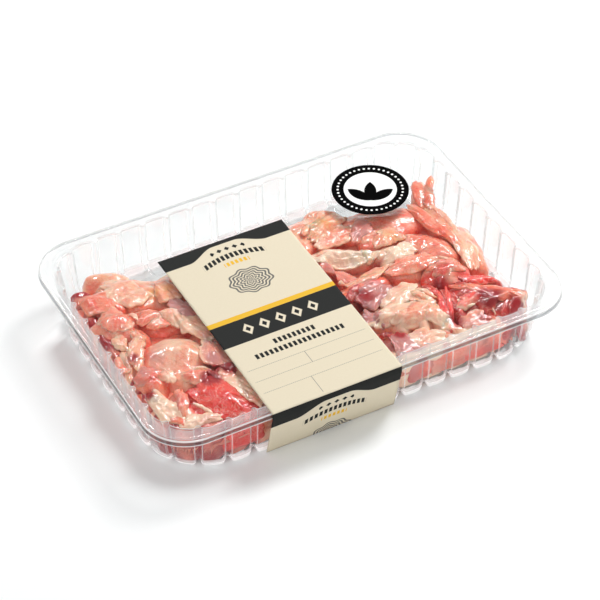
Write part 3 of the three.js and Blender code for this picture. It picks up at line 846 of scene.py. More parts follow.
section = label_section()
lengths = np.hypot(*np.diff(section, axis=0).T)
section_down = np.concatenate([[0], np.cumsum(lengths)])
FOLD_DOWN = LABEL_BACK - LABEL_FRONT
print("label:", round(LABEL_RIGHT - LABEL_LEFT, 1), "wide,", round(section_down[-1], 1), "long")

# %% Label: inks and shapes
INK_CHARCOAL = "2A2B2A"
INK_YELLOW = "E4B43A"
INK_GREY = "8F8C83"
INK_ROSETTE = "6F6D69"
STOCK_BEIGE = "DFD4BD"
STOCK_BEIGE_SHADE = "DACFB6"
FIBRE_SIZE = 1.1
GRAIN_STRENGTH, GRAIN_HEIGHT = 0.05, 0.1
LABEL_GLOSS, LABEL_SHINE = (0.58, 0.68), 0.04
BAND_DEPTH = 9.3
ARCH_TOP = 2.7
ARCH_FROM, ARCH_TO = 6.0, 22.0
BOW = 0.012
STRIPE_FROM, STRIPE_TO = 54.4, 57.7
BAR_TO = 73.8
# Dotted rules: how far down the sheet. Short upright lines: place across, from and to.
RULES = (92.8, 101.3, 109.8)
RULE_HALF, RULE_REACH, DASH = 0.16, 32.5, 0.5
TABS = ((-1.4, 92.8, 101.3), (-6.9, 109.8, 122.0))
ROSETTE_DOWN, ROSETTE_RADIUS, ROSETTE_PETALS = 34.0, 11.5, 9
ROSETTE_STRETCH, ROSETTE_WAVE = 1.25, 0.7
ROSETTE_RING, ROSETTE_LINE = 1.0, 0.45
INK_EDGE = 0.14
BAR_MIDDLE = (STRIPE_TO + BAR_TO) / 2
# A row of shapes: centre down the sheet, pitch, half width, half height, reach to each side,
# pointed or square, and ink.
HEAD_ROWS = [
    (7.0, 4.4, 1.5, 1.5, 9.6, True, INK_CHARCOAL),
    (12.6, 2.6, 0.85, 1.9, 17.4, False, INK_CHARCOAL),
    (18.2, 2.4, 0.75, 1.4, 7.0, False, INK_YELLOW),
]
BAR_ROWS = [
    (BAR_MIDDLE, 9.0, 3.0, 4.2, 21.5, True, STOCK_BEIGE),
    (BAR_MIDDLE, 9.0, 1.4, 2.0, 21.5, True, INK_CHARCOAL),
    (79.6, 2.6, 0.8, 1.7, 11.6, False, INK_CHARCOAL),
    (85.6, 2.6, 0.8, 1.7, 24.6, False, INK_CHARCOAL),
]
print("rows of shapes:", len(HEAD_ROWS) + len(BAR_ROWS))

# %% Label: how a shape is printed
def past(tree, value, edge, here=0.0, there=1.0):
    """0 where a value is before an edge and 1 past it, with an edge of ink between them."""
    return add_node(tree, "ShaderNodeMapRange", {
        "Value": value, "From Min": edge - INK_EDGE / 2, "From Max": edge + INK_EDGE / 2,
        "To Min": here, "To Max": there,
    }).outputs[0]


def before(tree, value, edge):
    """1 where a value is before an edge and 0 past it."""
    return past(tree, value, edge, 1.0, 0.0)


def printed(tree, colour, masks, hex_colour):
    """A colour with one ink over it where all the masks are 1."""
    mask, *others = masks
    for other in others:
        mask = add_node(tree, "ShaderNodeMath", {0: mask, 1: other},
                        operation="MULTIPLY").outputs[0]
    return add_node(tree, "ShaderNodeMix", {
        MIX_FACTOR: mask, MIX_A: colour, MIX_B: linear(hex_colour),
    }, data_type="RGBA").outputs[MIX_RESULT]


def row_masks(tree, side, down, centre, pitch, half_width, half_height, reach, pointed):
    """Masks of a row of lozenges or of upright bars across the label, on a centre line."""
    beside = add_node(tree, "ShaderNodeMath", {0: side, 1: pitch / 2}, operation="PINGPONG")
    off = add_node(tree, "ShaderNodeMath", {0: down, 1: centre}, operation="SUBTRACT")
    spot = add_node(tree, "ShaderNodeCombineXYZ", {"X": beside.outputs[0], "Y": off.outputs[0]})
    scaled = add_node(tree, "ShaderNodeVectorMath", {
        0: spot.outputs[0], 1: (half_width, half_height, 1),
    }, operation="DIVIDE")
    parts = add_node(tree, "ShaderNodeVectorMath", {0: scaled.outputs[0]}, operation="ABSOLUTE")
    parts = add_node(tree, "ShaderNodeSeparateXYZ", {0: parts.outputs[0]}).outputs
    far = add_node(tree, "ShaderNodeMath", {0: parts["X"], 1: parts["Y"]},
                   operation="ADD" if pointed else "MAXIMUM").outputs[0]
    return [before(tree, far, 1.0), before(tree, side, reach)]


def rosette_masks(tree, across, down, centre):
    """Masks of wavy rings, one inside the other, about a point of the centre line."""
    up = add_node(tree, "ShaderNodeMath", {
        0: down, 1: ROSETTE_STRETCH, 2: -ROSETTE_STRETCH * centre,
    }, operation="MULTIPLY_ADD").outputs[0]
    flat = add_node(tree, "ShaderNodeCombineXYZ", {"X": across, "Y": up}).outputs[0]
    radius = add_node(tree, "ShaderNodeVectorMath", {0: flat}, operation="LENGTH").outputs["Value"]
    angle = add_node(tree, "ShaderNodeMath", {0: up, 1: across}, operation="ARCTAN2")
    turns = add_node(tree, "ShaderNodeMath", {0: angle.outputs[0], 1: ROSETTE_PETALS},
                     operation="MULTIPLY")
    petals = add_node(tree, "ShaderNodeMath", {0: turns.outputs[0]}, operation="COSINE")
    wavy = add_node(tree, "ShaderNodeMath", {0: petals.outputs[0], 1: ROSETTE_WAVE, 2: radius},
                    operation="MULTIPLY_ADD").outputs[0]
    ring = add_node(tree, "ShaderNodeMath", {0: wavy, 1: ROSETTE_RING},
                    operation="PINGPONG").outputs[0]
    return [past(tree, ring, ROSETTE_LINE), before(tree, wavy, ROSETTE_RADIUS)]


print("an edge of ink is", INK_EDGE, "mm wide")

# %% Label: the printed paper
def coated_paper():
    """Coated paper, printed: matt ink fields on a beige ground, with a faint sheet grain."""
    material, tree = new_material("coated paper")
    across = add_node(tree, "ShaderNodeAttribute", attribute_name="across").outputs["Fac"]
    down = add_node(tree, "ShaderNodeAttribute", attribute_name="down").outputs["Fac"]
    place = add_node(tree, "ShaderNodeTexCoord").outputs["Object"]
    fibre = add_node(tree, "ShaderNodeTexNoise", {"Vector": place, "Scale": 1 / (FIBRE_SIZE * MM),
                                                  "Detail": 3.0}).outputs["Fac"]
    side = add_node(tree, "ShaderNodeMath", {0: across}, operation="ABSOLUTE").outputs[0]
    square = add_node(tree, "ShaderNodeMath", {0: side, 1: side}, operation="MULTIPLY").outputs[0]
    bowed = add_node(tree, "ShaderNodeMath", {0: square, 1: -BOW, 2: down},
                     operation="MULTIPLY_ADD").outputs[0]
    arch = add_node(tree, "ShaderNodeMapRange", {
        "Value": side, "From Min": ARCH_FROM, "From Max": ARCH_TO,
        "To Min": ARCH_TOP, "To Max": BAND_DEPTH,
    }, interpolation_type="SMOOTHSTEP").outputs[0]
    below_arch = add_node(tree, "ShaderNodeMath", {0: down, 1: arch},
                          operation="SUBTRACT").outputs[0]
    colour = add_node(tree, "ShaderNodeMix", {
        MIX_FACTOR: fibre, MIX_A: linear(STOCK_BEIGE), MIX_B: linear(STOCK_BEIGE_SHADE),
    }, data_type="RGBA").outputs[MIX_RESULT]
    for start in (0.0, FOLD_DOWN + 1.0):
        band = [past(tree, down, start - 1.0), before(tree, below_arch, start)]
        colour = printed(tree, colour, band, INK_CHARCOAL)
        for centre, *sizes, ink in HEAD_ROWS:
            row = row_masks(tree, side, bowed, start + centre, *sizes)
            colour = printed(tree, colour, row, ink)
        rosette = rosette_masks(tree, across, down, start + ROSETTE_DOWN)
        colour = printed(tree, colour, rosette, INK_ROSETTE)
    stripe = [past(tree, down, STRIPE_FROM), before(tree, down, STRIPE_TO)]
    colour = printed(tree, colour, stripe, INK_YELLOW)
    bar = [past(tree, down, STRIPE_TO), before(tree, down, BAR_TO)]
    colour = printed(tree, colour, bar, INK_CHARCOAL)
    for centre, *sizes, ink in BAR_ROWS:
        colour = printed(tree, colour, row_masks(tree, side, down, centre, *sizes), ink)
    beat = add_node(tree, "ShaderNodeMath", {0: side, 1: DASH}, operation="PINGPONG").outputs[0]
    dashes = [past(tree, beat, DASH / 3), before(tree, side, RULE_REACH)]
    for rule in RULES:
        line = [past(tree, down, rule - RULE_HALF), before(tree, down, rule + RULE_HALF)]
        colour = printed(tree, colour, dashes + line, INK_GREY)
    for tab, top, bottom in TABS:
        line = [past(tree, across, tab - RULE_HALF), before(tree, across, tab + RULE_HALF)]
        line += [past(tree, down, top), before(tree, down, bottom)]
        colour = printed(tree, colour, line, INK_GREY)
    paper = add_node(tree, "ShaderNodeBump", {"Height": fibre, "Strength": GRAIN_STRENGTH,
                                              "Distance": GRAIN_HEIGHT * MM})
    gloss = add_node(tree, "ShaderNodeMapRange", {"Value": fibre, "To Min": LABEL_GLOSS[0],
                                                  "To Max": LABEL_GLOSS[1]})
    skin = add_node(tree, "ShaderNodeBsdfPrincipled", {
        "Base Color": colour,
        "Roughness": gloss.outputs[0],
        "Specular IOR Level": LABEL_SHINE,
        "Normal": paper.outputs["Normal"],
    })
    show(tree, skin.outputs["BSDF"])
    return material

label_paper = coated_paper()
print("label paper:", len(label_paper.node_tree.nodes), "nodes")

# %% Label: mesh and finish
def label_sheet():
    """The printed sheet, thickened inwards, with its two print coordinates."""
    xs = np.linspace(LABEL_LEFT, LABEL_RIGHT, 1 + round((LABEL_RIGHT - LABEL_LEFT) / LABEL_CELL))
    points = [(x, y, z) for y, z in section for x in xs]
    across = [x - LABEL_MIDDLE for _ in section for x in xs]
    down = [d for d in section_down for _ in xs]
    count = len(xs)
    faces = []
    for row, i in itertools.product(range(len(section) - 1), range(count - 1)):
        a = row * count + i
        faces.append((a, a + count, a + count + 1, a + 1))
    sheet = mesh_object("label_sheet", points, faces, label_paper)
    add_attribute(sheet, "across", across)
    add_attribute(sheet, "down", down)
    wall = sheet.modifiers.new("paper", "SOLIDIFY")
    wall.thickness = PAPER * MM
    wall.offset = -1
    wall.use_even_offset = True
    return applied(sheet)


label = label_sheet()
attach(label, "root")
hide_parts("label")
print("label:", len(label.data.polygons), "faces")

# %% [markdown]
# The round sticker
#
# A paper disc 40 mm across lies on the film: a black ring round a white field, with small white
# dots on the ring and a plain sprig of three leaves in the field. A leaf is where two circles
# overlap. A disc needs a fine rim, because the eye sees every facet of a circle, so it has 96
# sides and a small bevel where the punch cut it.

# %% Sticker: sizes and leaves
sticker_low, sticker_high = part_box("round_sticker")
STICKER_MIDDLE = [(sticker_low[i] + sticker_high[i]) / 2 / MM for i in (0, 1)]
STICKER_RADIUS = (sticker_high.x - sticker_low.x) / 2 / MM
FIELD_RADIUS = 13.9
RIM_WIDTH = 0.5
DOT_RING, DOT_RADIUS, DOT_COUNT = 17.0, 0.62, 40
STICKER_SIDES = 96
LEAF_LENGTH, LEAF_WIDTH, LEAF_ROOT = 15.0, 6.4, -9.0
LEAF_LEANS = (math.radians(-52), 0.0, math.radians(52))
UPRIGHT = math.radians(62)
STICKER_WHITE, STICKER_BLACK = "F4F4F2", "030303"
STICKER_GLOSS, STICKER_SHINE = (0.55, 0.65), 0.01
STICKER_BEVEL = 0.08


def leaf_circles(lean):
    """The two circles whose overlap is a leaf that leans by an angle from upright."""
    tall, flat = LEAF_LENGTH / 2, LEAF_WIDTH / 2
    shift = (tall ** 2 - flat ** 2) / (2 * flat)
    turn = UPRIGHT + lean
    along = np.array([math.cos(turn), math.sin(turn)])
    beside = np.array([-along[1], along[0]])
    root = LEAF_ROOT * np.array([math.cos(UPRIGHT), math.sin(UPRIGHT)])
    middle = root + along * tall
    return shift + flat, tuple(middle + beside * shift), tuple(middle - beside * shift)


print("circles of a leaf:", round(leaf_circles(0)[0], 1), "mm in radius")

# %% Sticker: the paper
def sticker_paper():
    """Black and white coated paper, drawn from the distance to the middle of the disc."""
    material, tree = new_material("sticker paper")
    place = add_node(tree, "ShaderNodeTexCoord").outputs["Object"]
    centred = add_node(tree, "ShaderNodeVectorMath", {
        0: place, 1: (STICKER_MIDDLE[0] * MM, STICKER_MIDDLE[1] * MM, 0),
    }, operation="SUBTRACT").outputs[0]
    scaled = add_node(tree, "ShaderNodeVectorMath", {0: centred, 1: (1 / MM, 1 / MM, 0)},
                      operation="MULTIPLY").outputs[0]
    flat = add_node(tree, "ShaderNodeSeparateXYZ", {0: scaled}).outputs
    radius = add_node(tree, "ShaderNodeVectorMath", {0: scaled},
                      operation="LENGTH").outputs["Value"]
    angle = add_node(tree, "ShaderNodeMath", {0: flat["Y"], 1: flat["X"]}, operation="ARCTAN2")
    arc = add_node(tree, "ShaderNodeMath", {0: angle.outputs[0], 1: DOT_RING},
                   operation="MULTIPLY")
    beside = add_node(tree, "ShaderNodeMath", {
        0: arc.outputs[0], 1: math.pi * DOT_RING / DOT_COUNT,
    }, operation="PINGPONG")
    off = add_node(tree, "ShaderNodeMath", {0: radius, 1: DOT_RING}, operation="SUBTRACT")
    spot = add_node(tree, "ShaderNodeCombineXYZ", {"X": beside.outputs[0], "Y": off.outputs[0]})
    far = add_node(tree, "ShaderNodeVectorMath", {0: spot.outputs[0]}, operation="LENGTH")
    ring = [past(tree, radius, FIELD_RADIUS), past(tree, far.outputs["Value"], DOT_RADIUS)]
    colour = printed(tree, linear(STICKER_WHITE), ring, STICKER_BLACK)
    for lean in LEAF_LEANS:
        reach, *middles = leaf_circles(lean)
        leaf = []
        for middle in middles:
            away = add_node(tree, "ShaderNodeVectorMath", {0: scaled, 1: (*middle, 0)},
                            operation="DISTANCE").outputs["Value"]
            leaf.append(before(tree, away, reach))
        colour = printed(tree, colour, leaf, STICKER_BLACK)
    fibre = add_node(tree, "ShaderNodeTexNoise", {"Vector": place,
                                                  "Scale": 1 / (FIBRE_SIZE * MM)}).outputs["Fac"]
    gloss = add_node(tree, "ShaderNodeMapRange", {"Value": fibre, "To Min": STICKER_GLOSS[0],
                                                  "To Max": STICKER_GLOSS[1]})
    skin = add_node(tree, "ShaderNodeBsdfPrincipled", {
        "Base Color": colour,
        "Roughness": gloss.outputs[0],
        "Specular IOR Level": STICKER_SHINE,
    })
    show(tree, skin.outputs["BSDF"])
    return material


disc_paper = sticker_paper()
print("sticker paper:", len(disc_paper.node_tree.nodes), "nodes")

# %% Sticker: the disc
def sticker_disc():
    """A disc with a bevelled rim, as a stack of rings and two caps."""
    low, high = sticker_low.z / MM, sticker_high.z / MM
    rings = [(STICKER_RADIUS, low), (STICKER_RADIUS, high - STICKER_BEVEL),
             (STICKER_RADIUS - STICKER_BEVEL, high), (STICKER_RADIUS - RIM_WIDTH, high)]
    turns = np.arange(STICKER_SIDES) * 2 * math.pi / STICKER_SIDES
    points = [(STICKER_MIDDLE[0] + r * math.cos(t), STICKER_MIDDLE[1] + r * math.sin(t), z)
              for r, z in rings for t in turns]
    faces = []
    for row, i in itertools.product(range(len(rings) - 1), range(STICKER_SIDES)):
        a, b = row * STICKER_SIDES + i, row * STICKER_SIDES + (i + 1) % STICKER_SIDES
        faces.append((a, b, b + STICKER_SIDES, a + STICKER_SIDES))
    faces.append(tuple(range(STICKER_SIDES))[::-1])
    faces.append(tuple(range((len(rings) - 1) * STICKER_SIDES, len(rings) * STICKER_SIDES)))
    return mesh_object("sticker_disc", points, faces, disc_paper, smooth=False)


sticker = sticker_disc()
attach(sticker, "root")
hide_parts("round_sticker")
print("sticker:", round(2 * STICKER_RADIUS, 1), "mm across")

# %% [markdown]
# Raw meat
#
# A boned thigh is muscle in bundles, wrapped in a thin clear skin, with seams of cream fat and
# here and there a smear of blood. It is wet, so its highlights are small and sharp, and light
# goes a few millimetres into it and comes back redder, which keeps its shadows warm. So the
# material has three layers: colour from soft mottles, streaks along the grain, fat and blood
# where the mesh says; scattering below the surface, reaching furthest in red; and a thin coat
# of juice with its own fine ripple. Creases and deep hollows are multiplied by a red painted
# shade, which darkens them as the shade between the pieces would; it is red because light
# reaches them only through meat.

# %% Meat: colours and sizes
FAT_CREAM = "FFD5B9"
MAUVE = "D08C86"
GOLD = "F6A35E"
BLOOD = "A60F16"
# Painted shade for creases and hollows, multiplied in: red, as light reaches them through meat.
CREASE_PAINTED_SHADE = "F66650"
HOLLOW_PAINTED_SHADE = "F63C2C"
# A kind of vein: colour, size of its wandering in millimetres, and strength.
VEINS = (("E2594E", 7.0, 0.45), ("FFDCC8", 5.0, 0.38))
VEIN_WIDTH, VEIN_TWIST = 0.035, 1.5
# Sizes of the mottles, of the streaks across the grain and of the pores, in millimetres.
MOTTLE, MOTTLE_TWIST = 8.0, 0.6
STREAK = 1.2
PORE = 0.6
STREAK_SHARE, DEEP_UNTIL, LIGHT_FROM = 0.45, 0.5, 0.88
TORN_BY_MOTTLE, TORN_BY_PORES = 0.5, 0.25
BARE_UNTIL, PAINTED_FROM = 0.6, 1.15
STREAK_RELIEF, RELIEF_STRENGTH, RELIEF_HEIGHT = 0.8, 0.4, 0.35
FLESH_IOR, FLESH_SHINE, FLESH_GLOSS = 1.4, 0.2, (0.25, 0.42)
SCATTER_RADIUS, SCATTER_REACH = (1.0, 0.28, 0.17), 2.3
SCATTER_MUSCLE, SCATTER_FAT = 0.75, 0.25
JUICE_IOR, JUICE_ROUGHNESS = 1.42, 0.11
JUICE_WAVE, JUICE_STREAK = 2.6, 0.3
JUICE_STRENGTH, JUICE_HEIGHT = 0.5, 0.4
print("light goes", SCATTER_REACH, "mm into the meat")

# %% Meat: the material and its shades
def raw_meat(name, deep, light, fat, blood):
    """Raw poultry with its deep and light muscle colours, its fat and its blood."""
    material, tree = new_material(name)
    place = add_node(tree, "ShaderNodeTexCoord").outputs["Object"]
    grain = add_node(tree, "ShaderNodeAttribute", attribute_name="grain").outputs["Vector"]
    mottle = add_node(tree, "ShaderNodeTexNoise", {
        "Vector": place, "Scale": 1 / (MOTTLE * MM), "Detail": 3.0, "Distortion": MOTTLE_TWIST,
    }).outputs["Fac"]
    streak = add_node(tree, "ShaderNodeTexNoise", {
        "Vector": grain, "Scale": 1 / STREAK, "Detail": 2.0,
    }).outputs["Fac"]
    pores = add_node(tree, "ShaderNodeTexNoise", {
        "Vector": place, "Scale": 1 / (PORE * MM), "Detail": 2.0,
    }).outputs["Fac"]
    blend = add_node(tree, "ShaderNodeMath", {0: streak, 1: STREAK_SHARE, 2: mottle},
                     operation="MULTIPLY_ADD").outputs[0]
    lightness = add_node(tree, "ShaderNodeMapRange", {
        "Value": blend, "From Min": DEEP_UNTIL, "From Max": LIGHT_FROM,
    }).outputs[0]
    colour = add_node(tree, "ShaderNodeMix", {
        MIX_FACTOR: lightness, MIX_A: linear(deep), MIX_B: linear(light),
    }, data_type="RGBA").outputs[MIX_RESULT]
    for hex_colour, size, strength in VEINS:
        wander = add_node(tree, "ShaderNodeTexNoise", {
            "Vector": place, "Scale": 1 / (size * MM), "Detail": 3.0, "Distortion": VEIN_TWIST,
        }).outputs["Fac"]
        off = add_node(tree, "ShaderNodeMath", {0: wander, 1: 0.5}, operation="SUBTRACT").outputs[0]
        away = add_node(tree, "ShaderNodeMath", {0: off}, operation="ABSOLUTE").outputs[0]
        line = add_node(tree, "ShaderNodeMapRange", {
            "Value": away, "From Max": VEIN_WIDTH, "To Min": strength, "To Max": 0.0,
        }, interpolation_type="SMOOTHSTEP").outputs[0]
        colour = add_node(tree, "ShaderNodeMix", {
            MIX_FACTOR: line, MIX_A: colour, MIX_B: linear(hex_colour),
        }, data_type="RGBA").outputs[MIX_RESULT]
    masks = {}
    for attribute, hex_colour in (("mauve", MAUVE), ("gold", GOLD), ("fat", fat), ("blood", blood)):
        amount = add_node(tree, "ShaderNodeAttribute", attribute_name=attribute).outputs["Fac"]
        torn = add_node(tree, "ShaderNodeMath", {0: mottle, 1: TORN_BY_MOTTLE, 2: amount},
                        operation="MULTIPLY_ADD").outputs[0]
        fine = add_node(tree, "ShaderNodeMath", {0: pores, 1: TORN_BY_PORES, 2: torn},
                        operation="MULTIPLY_ADD").outputs[0]
        masks[attribute] = add_node(tree, "ShaderNodeMapRange", {
            "Value": fine, "From Min": BARE_UNTIL, "From Max": PAINTED_FROM,
        }, interpolation_type="SMOOTHSTEP").outputs[0]
        colour = add_node(tree, "ShaderNodeMix", {
            MIX_FACTOR: masks[attribute], MIX_A: colour, MIX_B: linear(hex_colour),
        }, data_type="RGBA").outputs[MIX_RESULT]
    scatter = add_node(tree, "ShaderNodeMapRange", {
        "Value": masks["fat"], "To Min": SCATTER_MUSCLE, "To Max": SCATTER_FAT,
    }).outputs[0]
    # Painted shade: creases and hollows are multiplied by a red shade colour.
    for attribute, shade_colour in (("crease", CREASE_PAINTED_SHADE), ("hollow", HOLLOW_PAINTED_SHADE)):
        amount = add_node(tree, "ShaderNodeAttribute", attribute_name=attribute).outputs["Fac"]
        colour = add_node(tree, "ShaderNodeMix", {
            MIX_FACTOR: amount, MIX_A: colour, MIX_B: linear(shade_colour),
        }, data_type="RGBA", blend_type="MULTIPLY").outputs[MIX_RESULT]
    height = add_node(tree, "ShaderNodeMath", {0: streak, 1: STREAK_RELIEF, 2: pores},
                      operation="MULTIPLY_ADD").outputs[0]
    relief = add_node(tree, "ShaderNodeBump", {
        "Height": height, "Strength": RELIEF_STRENGTH, "Distance": RELIEF_HEIGHT * MM,
    })
    ripple = add_node(tree, "ShaderNodeTexNoise", {
        "Vector": place, "Scale": 1 / (JUICE_WAVE * MM), "Detail": 1.0,
    }).outputs["Fac"]
    wave = add_node(tree, "ShaderNodeMath", {0: streak, 1: JUICE_STREAK, 2: ripple},
                    operation="MULTIPLY_ADD").outputs[0]
    juice = add_node(tree, "ShaderNodeBump", {
        "Height": wave, "Strength": JUICE_STRENGTH, "Distance": JUICE_HEIGHT * MM,
    })
    gloss = add_node(tree, "ShaderNodeMapRange", {"Value": pores, "To Min": FLESH_GLOSS[0],
                                                  "To Max": FLESH_GLOSS[1]})
    skin = add_node(tree, "ShaderNodeBsdfPrincipled", {
        "Base Color": colour,
        "Roughness": gloss.outputs[0],
        "IOR": FLESH_IOR,
        "Specular IOR Level": FLESH_SHINE,
        "Subsurface Weight": scatter,
        "Subsurface Radius": SCATTER_RADIUS,
        "Subsurface Scale": SCATTER_REACH * MM,
        "Coat Weight": 1.0,
        "Coat Roughness": JUICE_ROUGHNESS,
        "Coat IOR": JUICE_IOR,
        "Normal": relief.outputs["Normal"],
        "Coat Normal": juice.outputs["Normal"],
    })
    show(tree, skin.outputs["BSDF"])
    return material


MEATS = {
    # slot: name, deep and light colour of the muscle, colour of its fat and of its blood
    "meat_peach": raw_meat("peach thigh muscle", "FD9677", "FFC7A6", FAT_CREAM, BLOOD),
    "meat_salmon": raw_meat("salmon thigh muscle", "EE6045", "FD9A7A", FAT_CREAM, BLOOD),
    "meat_pink": raw_meat("pink thigh muscle", "F9785F", "FFAE92", FAT_CREAM, BLOOD),
    "meat_red": raw_meat("red thigh muscle", "E62829", "F85C4D", FAT_CREAM, BLOOD),
    "meat_deep_red": raw_meat("dark red strands", "A81214", "DC4A3E", FAT_CREAM, "8A0A10"),
    "meat_cream": raw_meat("fat and skin", "FDA584", "FFCBAA", "FFDABF", BLOOD),
}
print("meats:", ", ".join(MEATS))

# %% [markdown]
# Noise for the relief of the meat
#
# A shader can fake small bumps, but the outline of a lump and its highlights need real relief.
# Blender's own noise works on one point at a time, which is slow for half a million points, so
# this small one works on whole arrays. It gives every corner of a lattice a number from a hash
# of its whole-number place, and blends between the eight corners round each point.

# %% Noise
# The lattice is turned, so that its rows don't show on upright and level faces.
LATTICE_TURN = np.array([(0.80, 0.36, -0.48), (-0.60, 0.48, -0.64), (0, 0.80, 0.60)])
LATTICE_START = 1000
LOBE_STEEPNESS, LOBE_ROUNDNESS = 2.6, 0.6


def lattice_value(cell, seed):
    """A number between -1 and 1 for each whole-number place, the same every time."""
    x, y, z = (cell[:, i].astype(np.uint64) for i in range(3))
    mixed = x * np.uint64(73856093) ^ y * np.uint64(19349663) ^ z * np.uint64(83492791)
    mixed ^= np.uint64(seed * 2654435761 % 2 ** 32)
    mixed = (mixed ^ (mixed >> np.uint64(15))) * np.uint64(2246822519) & np.uint64(0xFFFFFFFF)
    mixed = (mixed ^ (mixed >> np.uint64(13))) * np.uint64(3266489917) & np.uint64(0xFFFFFFFF)
    return (mixed >> np.uint64(8)).astype(float) / 2 ** 23 - 1


def soft_noise(points, size, seed):
    """Smooth noise between -1 and 1 with lumps of a size in millimetres."""
    spot = points @ LATTICE_TURN.T / size + LATTICE_START
    cell = np.floor(spot).astype(np.int64)
    part = spot - cell
    part = part * part * (3 - 2 * part)
    total = np.zeros(len(points))
    for corner in itertools.product((0, 1), repeat=3):
        weight = np.prod(np.where(corner, part, 1 - part), axis=1)
        total += weight * lattice_value(cell + corner, seed)
    return total


def layered_noise(points, size, seed, layers=3):
    """Noise with ever finer and fainter layers."""
    total = sum(soft_noise(points, size / 2 ** i, seed + 7 * i) / 2 ** i for i in range(layers))
    return total / sum(1 / 2 ** i for i in range(layers))


def ridges(points, size, seed):
    """Sharp ridges between 0 and 1, where the noise crosses zero."""
    return 1 - np.abs(layered_noise(points, size, seed, 2)) * 2


def folds(points, size, seed):
    """Full round lobes near 1 with narrow creases of 0 between them."""
    lobes = np.abs(layered_noise(points, size, seed, 2)) * LOBE_STEEPNESS
    return np.minimum(1, lobes) ** LOBE_ROUNDNESS


sample = soft_noise(np.random.default_rng(1).uniform(-100, 100, (2000, 3)), 8, 3)
print("noise from", round(sample.min(), 2), "to", round(sample.max(), 2))

# %% [markdown]
# From a CAD solid to a fillet
#
# Each CAD fillet is a few blunt spindles cut by its neighbours. A copy of it is merged, remeshed
# to an even skin and relaxed until its facets are gone. Then it is pushed in and out: by slow
# lumps, by lobes with creases between them, by the bundles of muscle along its grain, and by
# crumbs where there is fat. Cloth or sculpting could do this too, but a rule gives the same
# fillet on every run.
#
# Spots of fat, of blood, of mauve skin and of golden fat are named by their place on the tray,
# because on the real pack each lies on a certain fold. A spot's edge is broken up by noise.

# %% Fillet tools
VOXEL = 0.75
RELAX_ROUNDS = 22
PLUMP = 0.55
MERGE_DISTANCE = 0.01


def relaxed(points, edges, rounds, share=0.5):
    """Points moved towards the mean of their neighbours, a number of times."""
    count = len(points)
    first, second = edges.T
    valence = np.bincount(edges.ravel(), minlength=count)[:, None]
    for _ in range(rounds):
        total = np.empty_like(points)
        for axis in range(3):
            values = points[:, axis]
            total[:, axis] = (np.bincount(first, values[second], count)
                              + np.bincount(second, values[first], count))
        points = points + share * (total / valence - points)
    return points


def read_points(mesh):
    """The points of a mesh in millimetres."""
    values = np.empty(len(mesh.vertices) * 3)
    mesh.vertices.foreach_get("co", values)
    return values.reshape(-1, 3) / MM


def read_edges(mesh):
    """The edges of a mesh as pairs of point numbers."""
    values = np.empty(len(mesh.edges) * 2, np.int32)
    mesh.edges.foreach_get("vertices", values)
    return values.reshape(-1, 2)


def write_points(mesh, points):
    """Puts points in millimetres into a mesh."""
    mesh.vertices.foreach_set("co", (points * MM).ravel())
    mesh.update()


def point_normals(mesh):
    """The outward direction at every point of a mesh."""
    values = np.empty(len(mesh.vertices) * 3, np.float32)
    mesh.vertex_normals.foreach_get("vector", values)
    return values.reshape(-1, 3).astype(float)


def even_copy(node, name):
    """A merged copy of a CAD node with an even skin of small squares."""
    mesh = bpy.data.meshes.new(name)
    merged = bmesh.new()
    merged.from_mesh(NODES[node].data)
    bmesh.ops.remove_doubles(merged, verts=merged.verts, dist=MERGE_DISTANCE * MM)
    merged.to_mesh(mesh)
    merged.free()
    mesh.materials.clear()
    if "custom_normal" in mesh.attributes:
        mesh.attributes.remove(mesh.attributes["custom_normal"])
    made = bpy.data.objects.new(name, mesh)
    bpy.context.scene.collection.objects.link(made)
    remesh = made.modifiers.new("even skin", "REMESH")
    remesh.mode = "VOXEL"
    remesh.voxel_size = VOXEL * MM
    return applied(made)


print("voxel:", VOXEL, "mm")

# %% Spots of fat, blood, mauve skin and golden fat
# Each spot is x, y and radius in millimetres on the tray, and a strength.
RAGGED, RAGGED_SIZE = 0.45, 6
FAT_SPOTS = [
    (-62, 25, 7, 0.9), (-58, 18, 5, 0.7), (-82, 22, 5, 0.8), (-99, -42, 8, 0.9),
    (-92, -58, 6, 0.8), (-103, -5, 5, 0.7), (-84, -9, 7, 0.6), (-60, -47, 7, 0.8),
    (55, -1, 9, 1.0), (30, 10, 9, 0.9), (40, 7, 6, 0.9), (46, -37, 14, 0.7),
    (36, -54, 12, 0.7), (70, -33, 5, 0.7), (41, -60, 8, 0.9), (52, 12, 8, 0.5),
    (62, -22, 4, 0.8), (96, -60, 5, 0.7), (60, 30, 7, 0.4), (-80, -16, 8, 0.6),
]
BLOOD_SPOTS = [
    (-61, -41.5, 5, 1.0), (-72, -44, 6, 0.9), (-66, -38, 5, 0.8), (-101, -36, 4, 0.8),
    (-98, -12, 4, 0.7), (-84, -66, 7, 0.5), (24, -24, 6, 0.9), (21, -52, 4, 0.8),
    (26, -56, 4, 0.9), (78, -56, 7, 1.0), (88, -66, 7, 1.0), (62, -34, 6, 0.7),
    (55, -62, 6, 0.8), (70, -40, 6, 0.7), (44, -3, 4, 0.7), (70, -66, 7, 0.6),
]
MAUVE_SPOTS = [
    (-85.4, -13.4, 7, 0.8), (-58.3, 6.7, 6, 0.9), (-58.8, -17, 7, 0.8), (-63.6, -31.4, 8, 0.8),
    (-97.6, -25.2, 8, 0.6), (-90.7, -48.5, 8, 0.5), (32.3, -22.3, 9, 0.9),
    (21.4, -37.6, 8, 0.8), (25.3, -64.5, 12, 0.9), (19.2, 2.8, 8, 0.6), (61.1, -64.7, 9, 0.6),
    (71, -24.9, 8, 0.5), (77.3, -5.3, 6, 0.35),
]
